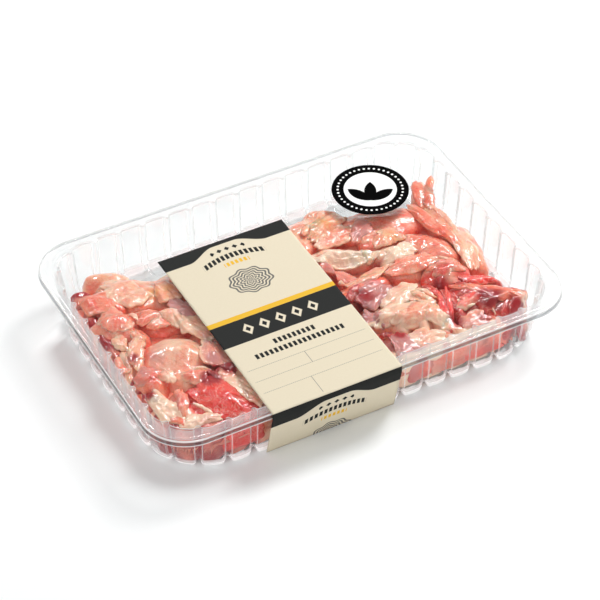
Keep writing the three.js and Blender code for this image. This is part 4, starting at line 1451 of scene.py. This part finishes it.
GOLD_SPOTS = [
    (-67.7, 28.7, 5, 0.8), (-60.5, 26.5, 6, 0.6), (34.3, 35.7, 8, 0.6), (58, 8.6, 7, 0.5),
    (89.6, -15.5, 6, 0.5), (37.7, -48, 8, 0.3), (32.1, -9.3, 6, 0.4), (38.8, 22.5, 6, 0.4),
]


def painted(points, spots, seed):
    """How strongly the spots colour each point, with their edges broken up."""
    ragged = 1 + RAGGED * layered_noise(points, RAGGED_SIZE, seed)
    total = np.zeros(len(points))
    for x, y, radius, strength in spots:
        far = np.hypot(points[:, 0] - x, points[:, 1] - y) * ragged
        total = np.maximum(total, strength * np.exp(-(far / radius) ** 2))
    return total


SPOTS = {"blood": BLOOD_SPOTS, "mauve": MAUVE_SPOTS, "gold": GOLD_SPOTS}
print("spots:", len(FAT_SPOTS), "of fat,", ", ".join(f"{len(v)} of {k}" for k, v in SPOTS.items()))

# %% Fillet shaping
# Each fillet: depth and size of its lobes, height of its lumps, share of fat.
CHARACTER = {
    "fillet_left_dome": (0.1, 18, 0.3, 1.0), "fillet_front_left_red": (0.7, 13, 1.1, 0.1),
    "fillet_left_brown": (0.8, 10, 1.0, 0.3), "fillet_left_curl": (0.5, 10, 0.7, 0.4),
    "fillet_left_fibrous": (0.6, 11, 1.0, 0.25), "fillet_left_salmon": (0.2, 15, 0.8, 0.05),
    "fillet_left_pink": (0.5, 13, 0.9, 0.3), "fillet_back_left": (0.8, 12, 1.3, 0.35),
    "fillet_label_left": (0.4, 15, 1.0, 0.35), "fillet_right_oval": (0.05, 16, 0.4, 0.4),
    "fillet_right_red": (0.9, 8, 1.1, 0.3), "fillet_ridged_skin": (0.8, 6, 1.0, 0.4),
    "fillet_dark_strands": (1.5, 6, 1.2, 0.2), "fillet_label_right": (0.5, 14, 0.9, 0.15),
    "fillet_right_cream": (0.5, 11, 0.9, 0.45), "fillet_right_strip": (0.6, 10, 1.0, 0.2),
    "fillet_right_pink": (0.6, 13, 1.0, 0.25), "fillet_back_right": (1.0, 9, 1.3, 0.3),
    "fillet_front_right": (0.6, 12, 1.0, 0.35),
}
# The fillets below the label, which nobody sees.
PLAIN = (0.8, 12, 1.0, 0.3)
LUMP_SIZE, LUMP_WARP = 9.0, 2
WARP, WARP_SIZE = 3.0, 14
FOLD_STRETCH = 3.2
FOLDED_CONTRAST, FOLDED_SIZE = 1.4, 17
FULL_LOBE, CREASE_BELOW = 0.85, 0.8
BUNDLE, BUNDLE_WIDTH, BUNDLE_STRETCH = 0.2, 2.2, 7.0
BUNDLE_LOST_IN_FAT = 0.6
FAT_PATCH = 13
CRUMB, CRUMB_SIZE = 0.7, 3.0
FINISH_SHARE = 0.3


def grain_axes(points):
    """The long, middle and short directions of a fillet."""
    centred = points - points.mean(0)
    values, directions = np.linalg.eigh(centred.T @ centred)
    return directions[:, np.argsort(values)[::-1]]


def shape_fillet(node, seed):
    """A fillet with relief and with its grain, fat and blood on every point."""
    fold, fold_size, lump, fatty = CHARACTER.get(node, PLAIN)
    made = even_copy(node, "meat_" + node.removeprefix("fillet_"))
    mesh = made.data
    edges = read_edges(mesh)
    points = relaxed(read_points(mesh), edges, RELAX_ROUNDS)
    write_points(mesh, points)
    normals = point_normals(mesh)
    axes = grain_axes(points)
    warp = np.column_stack([layered_noise(points, WARP_SIZE, seed + i, 2) for i in (1, 2, 3)])
    along = (points + WARP * warp) @ axes
    grain = along / (BUNDLE_STRETCH, 1, 1)
    fat = np.maximum(painted(points, FAT_SPOTS, seed + 4),
                     fatty * (layered_noise(points, FAT_PATCH, seed + 5) * 0.5 + 0.5))
    folded = np.clip(0.5 + FOLDED_CONTRAST * soft_noise(points, FOLDED_SIZE, seed + 11), 0, 1)
    lobes = 1 - folded * (1 - folds(along / (FOLD_STRETCH, 1, 1), fold_size, seed + 7))
    lumps = lump * layered_noise(points + LUMP_WARP * warp, LUMP_SIZE, seed + 8, 3)
    bundles = BUNDLE * (ridges(grain, BUNDLE_WIDTH, seed + 9) - 0.5)
    bundles *= 1 - BUNDLE_LOST_IN_FAT * fat
    crumbs = CRUMB * min(1, lump) * fat * ridges(points, CRUMB_SIZE, seed + 10)
    push = PLUMP + fold * (lobes - FULL_LOBE) + lumps + bundles + crumbs
    write_points(mesh, relaxed(points + normals * push[:, None], edges, 1, FINISH_SHARE))
    add_attribute(made, "grain", grain, "FLOAT_VECTOR")
    add_attribute(made, "fat", fat)
    for name, spots in SPOTS.items():
        add_attribute(made, name, painted(points, spots, seed + 6))
    # The crease attribute sets how much painted shade the crease between two lobes gets.
    add_attribute(made, "crease", np.clip(1 - lobes / CREASE_BELOW, 0, 1) * min(1, fold))
    mesh.shade_smooth()
    return made


print("fillets with a character of their own:", len(CHARACTER))

# %% Shape every fillet
FIRST_SEED, SEED_STEP = 40, 13
slot_of = {part["node"]: part["material_slot"] for part in frame["record"]["subparts"]}
fillets = []
for number, node in enumerate(sorted(name for name in NODES if name.startswith("fillet_"))):
    made = shape_fillet(node, FIRST_SEED + SEED_STEP * number)
    made.data.materials.append(MEATS[slot_of[node]])
    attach(made, "root")
    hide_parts(node)
    fillets.append(made)
print(len(fillets), "fillets,", sum(len(made.data.polygons) for made in fillets), "faces")

# %% [markdown]
# Meat against the wall
#
# The pack is full, so the meat is pressed flat against the wall. It is pressed in most at the
# grooves and coloured darker red along them, and at the left it goes down into the feet. The
# CAD fillets are round below, because they are cut apart there. So the scene adds a bank of meat
# along the left and the front wall, about 24 mm high, that disappears under the fillets. It
# follows the wall's own outline, which is quicker and tighter than pushing the fillets down.

# %% The bank along the wall
# The section of the bank: inset from the edge of the flange and height, in millimetres.
BANK_SECTION = [
    (10.9, 1.5), (10.3, 4), (9.8, 8), (9.6, 13), (9.4, 19), (9.8, 23), (12.5, 24.5), (17, 23),
    (20, 12), (18, 4.6), (14, 1.5),
]
BANK_START, BANK_END = 0.49, 0.925
BANK_LUMP, BANK_LUMP_SIZE = 0.8, 7
GROOVE_PRESS, PRESS_WIDTH = 1.3, 1.9
# The meat is pale from this x on, and its foot is higher there and over the notches.
PALE_FROM, PALE_SPAN = -60, 10
BANK_FOOT, PALE_FOOT = 1.3, 1.6
NOTCH_FOOT, NOTCH_WIDTH = 2.2, 2.9
CREST_FROM, CREST_SPAN, CREST_WAVE, CREST_SIZE = 16, 9, 3, 12
DARK_GROOVE_WIDTH, DARK_GROOVE_SIZE, BRUISE_SIZE, MOST_BLOOD = 2.2, 9, 15, 0.8
FAT_LEFT, FAT_MORE, BANK_FAT_SIZE = 0.15, 0.85, 11
FAR_FROM_GROOVE = 9


def rings_of_faces(rings, sides):
    """Faces between rings of points, and a fan over each end."""
    faces = [(r * sides + i, (r + 1) * sides + i,
              (r + 1) * sides + (i + 1) % sides, r * sides + (i + 1) % sides)
             for r, i in itertools.product(range(rings - 1), range(sides))]
    start, end = rings * sides, rings * sides + 1
    last = (rings - 1) * sides
    faces += [(start, i, (i + 1) % sides) for i in range(sides)]
    faces += [(end, last + (i + 1) % sides, last + i) for i in range(sides)]
    return faces


def wall_bank():
    """A bank of meat pressed against the left and the front wall."""
    spot = columns[int(BANK_START * len(columns)):int(BANK_END * len(columns))]
    section = cut_corners(BANK_SECTION + BANK_SECTION[:1], 1)[:-1]
    rows = []
    for inset, height in section:
        x, y = at_inset(spot, inset, WALL_CORNER)
        rows.append(np.column_stack([x, y, np.full(len(x), height)]))
    sides = len(section)
    points = np.stack(rows, 1).reshape(-1, 3)
    points = np.vstack([points, points[:sides].mean(0), points[-sides:].mean(0)])
    near = np.append(np.repeat(spot[:, 4], sides), [FAR_FROM_GROOVE] * 2)
    inward = np.column_stack([-points[:, :2] / np.linalg.norm(points[:, :2], axis=1)[:, None],
                              np.zeros(len(points))])
    push = BANK_LUMP * np.abs(layered_noise(points, BANK_LUMP_SIZE, 3))
    push += GROOVE_PRESS * np.exp(-(near / PRESS_WIDTH) ** 2)
    points = points + inward * push[:, None]
    pale = np.clip((points[:, 0] - PALE_FROM) / PALE_SPAN, 0, 1)
    over_notch = NOTCH_FOOT * np.exp(-(near / NOTCH_WIDTH) ** 6)
    foot = BANK_FOOT + np.maximum(PALE_FOOT * pale, over_notch)
    points[:, 2] = np.maximum(points[:, 2], foot)
    crest = np.clip(points[:, 2] - CREST_FROM, 0, CREST_SPAN) / CREST_SPAN
    points[:, 2] += crest * CREST_WAVE * layered_noise(points, CREST_SIZE, 4)
    made = mesh_object("meat_bank", points, rings_of_faces(len(spot), sides))
    # Darker red along the grooves and in random bruises, more on the left, less where the meat is
    # pale.
    groove_darkening = 0.5 + 0.6 * layered_noise(points, DARK_GROOVE_SIZE, 8)
    groove_darkening *= np.exp(-(near / DARK_GROOVE_WIDTH) ** 2)
    bruises = 0.5 * np.clip(layered_noise(points, BRUISE_SIZE, 6) * 2, 0, 1)
    fat = FAT_LEFT + FAT_MORE * pale + 0.5 * layered_noise(points, BANK_FAT_SIZE, 7)
    add_attribute(made, "grain", points / (2, 2, 4), "FLOAT_VECTOR")
    add_attribute(made, "fat", np.clip(fat, 0, 1))
    add_attribute(made, "blood", np.clip(groove_darkening + bruises + 0.5 - pale, 0, MOST_BLOOD))
    return made


bank = wall_bank()
bank.data.materials.append(MEATS["meat_pink"])
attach(bank, "root")
print("bank:", len(bank.data.polygons), "faces")

# %% [markdown]
# The height of the meat
#
# The next pieces lie on the fillets and follow what is below them. So the height of the fillets
# and of the bank is first read into a grid with cells of 1 mm, and its narrow hollows are
# bridged, as a slab of meat would bridge them. Casting a ray down from every point would find
# the same heights, but it would fall into every gap. How deep a point lies under that grid
# also sets how much painted shade it gets, as the shade in a hollow. Last, the grid is raised
# on both sides of the label, because the meat there is pressed up to the film.

# %% The height of the meat
CELL = 1.0
GRID_X, GRID_Y = 240, 180
BRIDGE_REACH = 6
# How deep a hollow must be for its full painted shade, and the strongest share of that shade.
HOLLOW_DEPTH, HOLLOW_SHARE = 9.0, 0.72
PRESSED_HEIGHT, PRESSED_WIDTH = 26.0, 8
PRESSED_FROM, PRESSED_TO = -66, 34


def cells(x, y):
    """Where places in millimetres fall on the grid, in cells and parts of a cell."""
    return (np.clip(x / CELL + GRID_X / 2, 1, GRID_X - 3),
            np.clip(y / CELL + GRID_Y / 2, 1, GRID_Y - 3))


def spread(grid, reach, pick):
    """The highest or the lowest height within a reach of each cell."""
    for axis in (0, 1):
        grid = pick.reduce([np.roll(grid, shift, axis) for shift in range(-reach, reach + 1)])
    return grid


def height_grid():
    """The height of the meat in each cell, with narrow hollows bridged."""
    grid = np.full((GRID_X, GRID_Y), FLOOR_HEIGHT)
    for made in [*fillets, bank]:
        points = read_points(made.data)
        i, j = (np.round(part).astype(int) for part in cells(points[:, 0], points[:, 1]))
        np.maximum.at(grid, (i, j), points[:, 2])
    grid = spread(spread(grid, BRIDGE_REACH, np.maximum), BRIDGE_REACH, np.minimum)
    for axis in (0, 1):
        grid = (np.roll(grid, 1, axis) + 2 * grid + np.roll(grid, -1, axis)) / 4
    return grid


def height_at(x, y):
    """The height of the meat at places in millimetres."""
    across, down = cells(x, y)
    i, j = across.astype(int), down.astype(int)
    u, v = across - i, down - j
    return ((1 - u) * (1 - v) * HEIGHTS[i, j] + u * (1 - v) * HEIGHTS[i + 1, j]
            + (1 - u) * v * HEIGHTS[i, j + 1] + u * v * HEIGHTS[i + 1, j + 1])


HEIGHTS = height_grid()
# Painted shade in the hollows below the bridged grid.
for made in fillets:
    points = read_points(made.data)
    depth = height_at(points[:, 0], points[:, 1]) - points[:, 2]
    add_attribute(made, "hollow", HOLLOW_SHARE * np.clip(depth / HOLLOW_DEPTH, 0, 1))
x, y = np.meshgrid(np.arange(GRID_X) - GRID_X / 2, np.arange(GRID_Y) - GRID_Y / 2, indexing="ij")
beside_label = np.minimum(np.abs(x - LABEL_LEFT), np.abs(x - LABEL_RIGHT)) < PRESSED_WIDTH
PRESSED = np.where(beside_label & (y > PRESSED_FROM) & (y < PRESSED_TO), PRESSED_HEIGHT, 0)
BRIDGED_HEIGHTS = HEIGHTS
HEIGHTS = np.maximum(BRIDGED_HEIGHTS, PRESSED)
print("meat stands up to", round(float(HEIGHTS.max()), 1), "mm")

# %% [markdown]
# The meat below the gaps
#
# In the pack no floor shows between the fillets, because more meat lies under them. The bridged
# grid already knows where the gaps are. So one rough slab follows it, a few millimetres lower,
# and shows only where the top layer leaves it open.

# %% The slab below the gaps
SLAB_DEPTH, SLAB_THICKNESS, SLAB_FROM = 6.0, 2.0, 12.0
SLAB_FAT, SLAB_FAT_CHANGE = 0.3, 0.3
# Painted shade: the whole slab lies below the gaps, so it gets half the strongest shade of a hollow.
SLAB_HOLLOW = HOLLOW_SHARE / 2


def meat_slab():
    """A rough slab of meat a little below the bridged height of the fillets."""
    i, j = np.nonzero(BRIDGED_HEIGHTS > SLAB_FROM)
    number = np.full(BRIDGED_HEIGHTS.shape, -1)
    number[i, j] = np.arange(len(i))
    points = np.column_stack([(i - GRID_X / 2) * CELL, (j - GRID_Y / 2) * CELL,
                              BRIDGED_HEIGHTS[i, j] - SLAB_DEPTH])
    points[:, 2] += layered_noise(points, LUMP_SIZE, 11)
    corners = np.stack([number[:-1, :-1], number[1:, :-1], number[1:, 1:], number[:-1, 1:]], -1)
    corners = corners.reshape(-1, 4)
    faces = corners[(corners >= 0).all(1)].tolist()
    made = mesh_object("meat_slab", points, faces, MEATS["meat_pink"])
    add_attribute(made, "grain", points / (BUNDLE_STRETCH, 1, 1), "FLOAT_VECTOR")
    fat = SLAB_FAT + SLAB_FAT_CHANGE * layered_noise(points, LUMP_SIZE, 12)
    add_attribute(made, "fat", fat)
    add_attribute(made, "hollow", np.full(len(points), SLAB_HOLLOW))
    thick = made.modifiers.new("slab", "SOLIDIFY")
    thick.thickness = SLAB_THICKNESS * MM
    thick.offset = -1
    return applied(made)


slab = meat_slab()
slab.data.shade_smooth()
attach(slab, "root")
print("slab:", len(slab.data.polygons), "faces")

# %% [markdown]
# Flaps and cords
#
# The knife leaves thin flaps and cords on a thigh: slabs of muscle folded over the next piece,
# strings of fat, torn dark strands. A flap is a disc with a ragged outline and a cord is a tube
# along a path, and both are laid on the grid of heights. Cloth would find the folds by itself,
# but it wouldn't keep each piece where the pack has it.

# %% Flaps and cords: sizes and relief
POINT_STEP = 0.65
# How high and how far out a flap may reach: a little less than the film and the wall.
CEILING = 30.55
WALL_X, WALL_Y = 103.5, 69.0
FIBRE, DIMPLE, DIMPLE_SIZE = 0.2, 0.3, 4.0
PATCHY = 0.35
# The waves in the outline of a flap: how many round it, and how high as a share of its size.
RIM_WAVES = ((2, 0.15), (3, 0.11), (5, 0.07), (9, 0.045), (14, 0.03))
ANY_ANGLE = 6.3
# The innermost ring of a flap, as a share of its size.
FLAP_HEART = 0.04
FLAP_ROUNDNESS = 3
FLAP_TOP, FLAP_UNDER, RIM_LIFT = 0.1, 0.9, 0.6
PALE_RIM, RIM_FROM = 0.3, 0.8
CORD_SIDES, CORD_ROUNDS = 14, 12
CORD_WANDER, CORD_SINK = 0.12, 0.2
LYING_CORD_TORN, RISING_CORD_TORN = 0.75, 0.3
TIP_SHARE, TIP_WIDTH, TIP_ROUNDNESS = 4, 0.04, 0.6


def detailed(points, outward, across, seed, fat):
    """Points with fibres, crumbs and small dimples pushed outwards, and their grain."""
    grain = across / (BUNDLE_STRETCH, 1, 1)
    push = (DIMPLE * layered_noise(points, DIMPLE_SIZE, seed, 2)
            + FIBRE * (ridges(grain, BUNDLE_WIDTH, seed + 1) - 0.5)
            + CRUMB * fat * ridges(points, CRUMB_SIZE, seed + 2))
    points = points + outward * push[:, None]
    points[:, 2] = np.minimum(points[:, 2], CEILING)
    return points, grain


print("flaps and cords: a point every", POINT_STEP, "mm")

# %% Flaps: their shape
def flap(x, y, length, width, turn, thick, fatty, mauve, gold, seed):
    """A slab with a ragged outline that lies on the meat, from its top to its underside."""
    turn = math.radians(turn)
    turned = np.array([(math.cos(turn), math.sin(turn)), (-math.sin(turn), math.cos(turn))])
    random = np.random.default_rng(seed)
    sides = int(math.pi * length / POINT_STEP)
    rings = int(length / 2 / POINT_STEP)
    angles = np.arange(sides) * 2 * math.pi / sides
    outline = 1 + sum(size * np.sin(count * angles + random.uniform(0, ANY_ANGLE))
                      for count, size in RIM_WAVES)
    lifts = np.sin(angles + random.uniform(0, ANY_ANGLE))
    lifts += 0.3 * np.sin(3 * angles + random.uniform(0, ANY_ANGLE))
    top, under = [], []
    for far in np.linspace(FLAP_HEART, 1, rings):
        flat = np.column_stack([far * outline * length / 2 * np.cos(angles),
                                far * outline * width / 2 * np.sin(angles)])
        spot = np.clip(flat @ turned + (x, y), (-WALL_X, -WALL_Y), (WALL_X, WALL_Y))
        below = height_at(spot[:, 0], spot[:, 1])
        dome = thick * (1 - far ** FLAP_ROUNDNESS)
        lift = RIM_LIFT * lifts * far ** FLAP_ROUNDNESS
        facts = [flat, np.full((sides, 1), far)]
        top.append(np.column_stack([spot, below + dome + lift - FLAP_TOP, *facts]))
        under.append(np.column_stack([spot, below + lift * far - FLAP_UNDER, *facts]))
    ends = np.array([top[0].mean(0), under[0].mean(0)])
    table = np.vstack([*top, *under[::-1], ends])
    points, far = table[:, :3], table[:, 5]
    upper = np.arange(len(points)) < rings * sides
    outward = np.column_stack([np.zeros((len(points), 2)), np.where(upper, 1.0, 0.0)])
    rim = np.clip((far - RIM_FROM) / (1 - RIM_FROM), 0, 1)
    patches = PATCHY * layered_noise(points, 6, seed + 3)
    fat = np.clip(fatty + PALE_RIM * rim + patches, 0, 1)
    across = np.column_stack([table[:, 3], table[:, 4], 0 * far])
    points, grain = detailed(points, outward, across, seed, fat * upper)
    tints = {"mauve": np.full(len(points), mauve), "gold": np.full(len(points), gold)}
    return points, rings_of_faces(2 * rings, sides), {"grain": grain, "fat": fat, **tints}


print("waves round a flap:", [count for count, _ in RIM_WAVES])

# %% Cords: their shape
def cord(path, width, thick, fatty, heights, seed):
    """A tube along a path that lies on the meat, or that rises to given heights."""
    path = np.array(path, float)
    run = np.concatenate([[0], np.cumsum(np.hypot(*np.diff(path, axis=0).T))])
    rings = int(run[-1] / POINT_STEP) + 2
    stations = np.linspace(0, run[-1], rings)
    share = stations / run[-1]
    middle = np.column_stack([np.interp(stations, run, path[:, i]) for i in (0, 1)])
    for _ in range(CORD_ROUNDS):
        middle[1:-1] = (middle[:-2] + 2 * middle[1:-1] + middle[2:]) / 4
    rough = np.column_stack([stations, 0 * share, 0 * share])
    wander = np.column_stack([layered_noise(rough, 5, seed + i) for i in (4, 5)])
    middle += CORD_WANDER * width * wander
    ahead = np.gradient(middle, axis=0)
    ahead /= np.linalg.norm(ahead, axis=1)[:, None]
    beside = np.column_stack([-ahead[:, 1], ahead[:, 0]])
    to_tip = np.minimum(share, 1 - share)
    taper = np.clip(to_tip * TIP_SHARE, TIP_WIDTH, 1) ** TIP_ROUNDNESS
    torn = LYING_CORD_TORN if heights is None else RISING_CORD_TORN
    half = width / 2 * taper * (1 + torn * layered_noise(rough, 4, seed + 6))
    if heights is None:
        level = height_at(middle[:, 0], middle[:, 1]) - CORD_SINK * thick
    else:
        level = np.interp(share, np.linspace(0, 1, len(heights)), heights)
    rows = []
    for angle in np.arange(CORD_SIDES) * 2 * math.pi / CORD_SIDES:
        side = np.column_stack([beside * math.cos(angle), np.full(rings, math.sin(angle))])
        spot = np.column_stack([middle + beside * (half * math.cos(angle))[:, None],
                                level + math.sin(angle) * thick * taper])
        rows.append(np.column_stack([spot, side, stations, half * math.cos(angle)]))
    table = np.stack(rows, 1).reshape(-1, 8)
    ends = np.array([table[:CORD_SIDES].mean(0), table[-CORD_SIDES:].mean(0)])
    table = np.vstack([table, ends])
    points, outward = table[:, :3], table[:, 3:6]
    fat = np.clip(fatty + PATCHY * layered_noise(points, 5, seed + 3), 0, 1)
    across = np.column_stack([table[:, 6], table[:, 7], 0 * fat])
    points, grain = detailed(points, outward, across, seed, fat)
    tints = {"mauve": 0 * fat, "gold": 0 * fat}
    return points, rings_of_faces(rings, CORD_SIDES), {"grain": grain, "fat": fat, **tints}


print("sides of a cord:", CORD_SIDES)

# %% Flaps: their places
# A flap: x, y, length, width, turn in degrees, thickness, and its shares of fat, mauve skin
# and golden fat. Lengths are in millimetres.
FLAPS = {
    "meat_peach": [
        (-80, 37.4, 28, 18, -42, 1.7, 0.35, 0, 0), (-61, 27, 18, 13, -72, 1.8, 0.3, 0, 0.4),
        (-60, -5, 20, 13, -68, 1.5, 0.4, 0, 0), (-66.6, 8.3, 15, 10, -88, 1.7, 0.4, 0, 0),
        (-58, -55, 30, 14, -70, 1.5, 0.45, 0, 0), (-61, -27, 26, 13, -94, 1.7, 0.3, 0.5, 0),
        (-97.9, 3.5, 11, 7, -72, 1.5, 0.4, 0, 0), (-99.5, -40.3, 8, 6, -63, 1.4, 0.6, 0, 0),
        (-99, -47, 22, 14, -71, 1.3, 0.6, 0, 0), (-87.5, -63, 22, 7, -16, 1.0, 0.6, 0, 0),
        (34.7, 34.6, 28, 12, 15, 1.8, 0.15, 0, 0.35), (57.5, 9.7, 16, 13, -5, 1.5, 0.1, 0, 0.25),
        (32.2, -10.2, 24, 11, 3, 1.8, 0.1, 0, 0.2), (38.6, -48.5, 26, 12, -8, 1.8, 0.35, 0, 0.1),
        (88.4, -17.4, 26, 10, -105, 1.8, 0.35, 0, 0.25),
        (63.7, -65.3, 18, 11, -4, 1.2, 0.2, 0.45, 0), (35.7, -65.1, 20, 13, 2, 1.4, 0.5, 0, 0),
    ],
    "meat_pink": [
        (-93.7, 18.6, 17, 18, -6, 1.4, 0.2, 0.2, 0), (-78, 13.1, 12, 10, 1, 2, 0.15, 0, 0),
        (-75.6, 7.2, 10, 7, -7, 1.7, 0.2, 0, 0), (-88.6, 1.8, 9, 6, -87, 1.7, 0.35, 0, 0),
        (-77.1, -38.2, 13, 9, -31, 1.5, 0.3, 0.3, 0), (-89, -30.2, 11, 7, -82, 1.4, 0.6, 0, 0),
        (-90.4, -49, 20, 6, -114, 1.7, 0.15, 0.25, 0), (-59, 10, 20, 12, -74, 1.4, 0.1, 0.8, 0),
        (34.7, 25.6, 24, 11, 3, 1.5, 0.35, 0, 0), (58.3, -14.6, 26, 14, -4, 1.7, 0, 0, 0),
        (71.8, -24.5, 23, 11, -13, 1.5, 0.05, 0, 0), (29.2, -25.7, 19, 15, 22, 1.8, 0.1, 0.8, 0),
        (19.3, -40.2, 14, 9, -56, 1.4, 0, 0.7, 0), (25, -63.9, 20, 13, -72, 1.2, 0, 0.9, 0),
        (23.1, -0.5, 21, 9, -52, 1.5, 0.1, 0.5, 0), (89, -65.8, 14, 9, 0, 1.5, 0.35, 0, 0),
        (48.4, 22.7, 15, 11, 18, 1.4, 0.1, 0.6, 0.1),
    ],
    "meat_salmon": [
        (-95.4, 35, 21, 17, -16, 1.5, 0.05, 0, 0.1), (-97.6, -25.3, 14, 11, -23, 1.8, 0.1, 0.5, 0),
        (-96.5, -57, 11, 6, -57, 1.4, 0.1, 0.3, 0), (83.2, 10.1, 42, 8, -83, 1.5, 0.15, 0, 0),
        (80.7, -51.6, 40, 9, -41, 1.7, 0.1, 0, 0),
    ],
    "meat_red": [
        (-73.3, -54.7, 30, 19, -52, 1.7, 0, 0, 0), (79.7, -41.2, 19, 7, -17, 2, 0, 0, 0),
        (68.5, -26.1, 15, 10, 27, 1.7, 0.3, 0.3, 0), (66.8, -53.5, 13, 8, 0, 2, 0.4, 0, 0),
    ],
    "meat_deep_red": [
        (-69.5, -43.4, 17, 5, -83, 1, 0, 0, 0), (-60.1, -40.5, 10, 6, -62, 1.5, 0, 0, 0),
        (20.7, -19.5, 11, 7, 40, 1.4, 0, 0, 0), (19.8, -53.8, 6, 5, -6, 1.5, 0, 0, 0),
        (74.3, -58.4, 9, 10, 11, 1.4, 0, 0, 0), (82.1, -64.2, 12, 4, 47, 1, 0, 0, 0),
        (51.2, -64, 6, 5, 7, 1.2, 0, 0, 0), (55, -37, 13, 5, -82, 1, 0, 0, 0),
    ],
    "meat_cream": [
        (41, 3.4, 7, 7, -16, 1.7, 0.4, 0, 0.3), (55.9, -4.5, 19, 11, -4, 1.5, 1, 0, 0),
        (30, -43.5, 28, 10, -4, 1.5, 0.45, 0, 0), (46, -52, 22, 10, -58, 1.5, 0.4, 0, 0),
        (51, -63, 12, 8, -80, 1.3, 0.3, 0, 0), (27, 8, 30, 8, -24, 1.0, 0.75, 0, 0),
        (38, 4.5, 16, 9, -8, 1.2, 0.7, 0, 0), (39, -31.8, 21, 15, 23, 1.8, 0.55, 0, 0),
    ],
}
print("flaps:", sum(len(flaps) for flaps in FLAPS.values()))

# %% Cords: their places
# A cord: its path over the meat, width, thickness, share of fat, and heights if it rises.
CORDS = {
    "meat_peach": [
        ([(-87.4, 7.3), (-92, -2.5), (-97.6, -14.1), (-98.7, -19.9)], 7, 1.5, 0.15, None),
        ([(27.7, 35.6), (33.5, 39.7), (38.8, 46.1)], 4.4, 1.2, 0.2, (25, 25, 24)),
        ([(19.7, 32.6), (23.3, 36.1), (27.2, 40.4)], 3.9, 1, 0.2, (25, 25, 24)),
    ],
    "meat_pink": [
        ([(-102.2, -3.5), (-104.2, -10.5), (-103, -17.6)], 5.5, 1.3, 0.15, None),
        ([(89.2, 28.3), (91.8, 11.3), (90.8, -2.7)], 3.3, 1.2, 0.5, None),
    ],
    "meat_salmon": [
        ([(86.7, 23.8), (89.7, 34.3), (93.4, 43.6)], 7, 1.2, 0.1, (23, 25.5, 25)),
        ([(88.6, 21), (93.2, 30.9), (96.1, 38.5)], 7, 1.2, 0.15, (23, 25, 24.5)),
        ([(89.1, 22.5), (95.2, 33.5), (102.4, 43.2)], 4.5, 1, 0.1, (23, 25, 25.5)),
    ],
    "meat_red": [
        ([(58.1, -37.8), (54.2, -49.3), (49.4, -65.1)], 3.9, 1.2, 0.1, None),
        ([(62.4, -38.4), (57.6, -50.3), (52.6, -62.7)], 3.3, 1.2, 0.15, None),
    ],
    "meat_deep_red": [
        ([(59.8, -38.8), (55.6, -50.9), (51, -64.3)], 1.65, 0.7, 0, None),
    ],
    "meat_cream": [
        ([(47, -31.9), (50.8, -37.3), (54.3, -44.3)], 2.8, 1.2, 0.3, None),
        ([(44.3, -34.7), (48, -40.1), (51.5, -47)], 2.8, 1.2, 0.3, None),
        ([(41.1, -38.1), (45.3, -42.8), (48.3, -49.5)], 2.8, 1.2, 0.3, None),
        ([(71.3, -16.3), (74.7, -21.6), (73.1, -31.2)], 0.9, 0.7, 0.6, None),
        ([(73.7, -20.2), (73.3, -27), (68, -32.8)], 0.9, 0.7, 0.6, None),
        ([(63.1, -49.9), (63.1, -55.7), (69, -56.4)], 1.275, 0.7, 0.6, None),
        ([(78, -55), (76.5, -60), (76, -65)], 1.05, 0.7, 0.6, None),
        ([(85.6, -60), (89, -64.5), (94, -62)], 0.9, 0.7, 0.6, None),
        ([(66.4, -41.4), (77.1, -48), (86.5, -56.5)], 0.9, 0.7, 0.6, None),
        ([(-78.6, -33.8), (-72.4, -33.2), (-68.9, -38.2)], 0.9, 0.7, 0.6, None),
        ([(-86.3, -52.5), (-82.3, -56.2), (-80.3, -61.8)], 1.275, 0.7, 0.6, None),
        ([(-85.6, 21.3), (-83.9, 17.9), (-83.7, 12.8)], 1.65, 0.7, 0.6, None),
    ],
}


print("cords:", sum(len(cords) for cords in CORDS.values()))

# %% Flaps and cords, joined for each shade of meat
SEEDS_PER_SLOT, CORD_SEED, SPOT_SEED = 100, 1000, 5


def joined(pieces, name):
    """One object from several shapes, with their grain and the colours painted on them."""
    points, faces, first = [], [], 0
    for piece in pieces:
        points.append(piece[0])
        faces += [tuple(first + i for i in face) for face in piece[1]]
        first += len(piece[0])
    points = np.vstack(points)
    made = mesh_object(name, points, faces)
    facts = {key: np.concatenate([piece[2][key] for piece in pieces]) for key in pieces[0][2]}
    add_attribute(made, "grain", facts.pop("grain"), "FLOAT_VECTOR")
    facts["blood"] = np.zeros(len(points))
    for key, values in facts.items():
        spots = painted(points, SPOTS[key], SPOT_SEED) if key in SPOTS else 0
        add_attribute(made, key, np.maximum(values, spots))
    return made


for number, slot in enumerate(MEATS):
    seed = SEEDS_PER_SLOT * number
    shapes = [flap(*fact, seed + i) for i, fact in enumerate(FLAPS[slot])]
    shapes += [cord(*fact, CORD_SEED + seed + i) for i, fact in enumerate(CORDS[slot])]
    made = joined(shapes, slot.replace("meat", "trimmings"))
    made.data.materials.append(MEATS[slot])
    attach(made, "root")
    print(made.name, len(shapes), "pieces,", len(made.data.polygons), "faces")
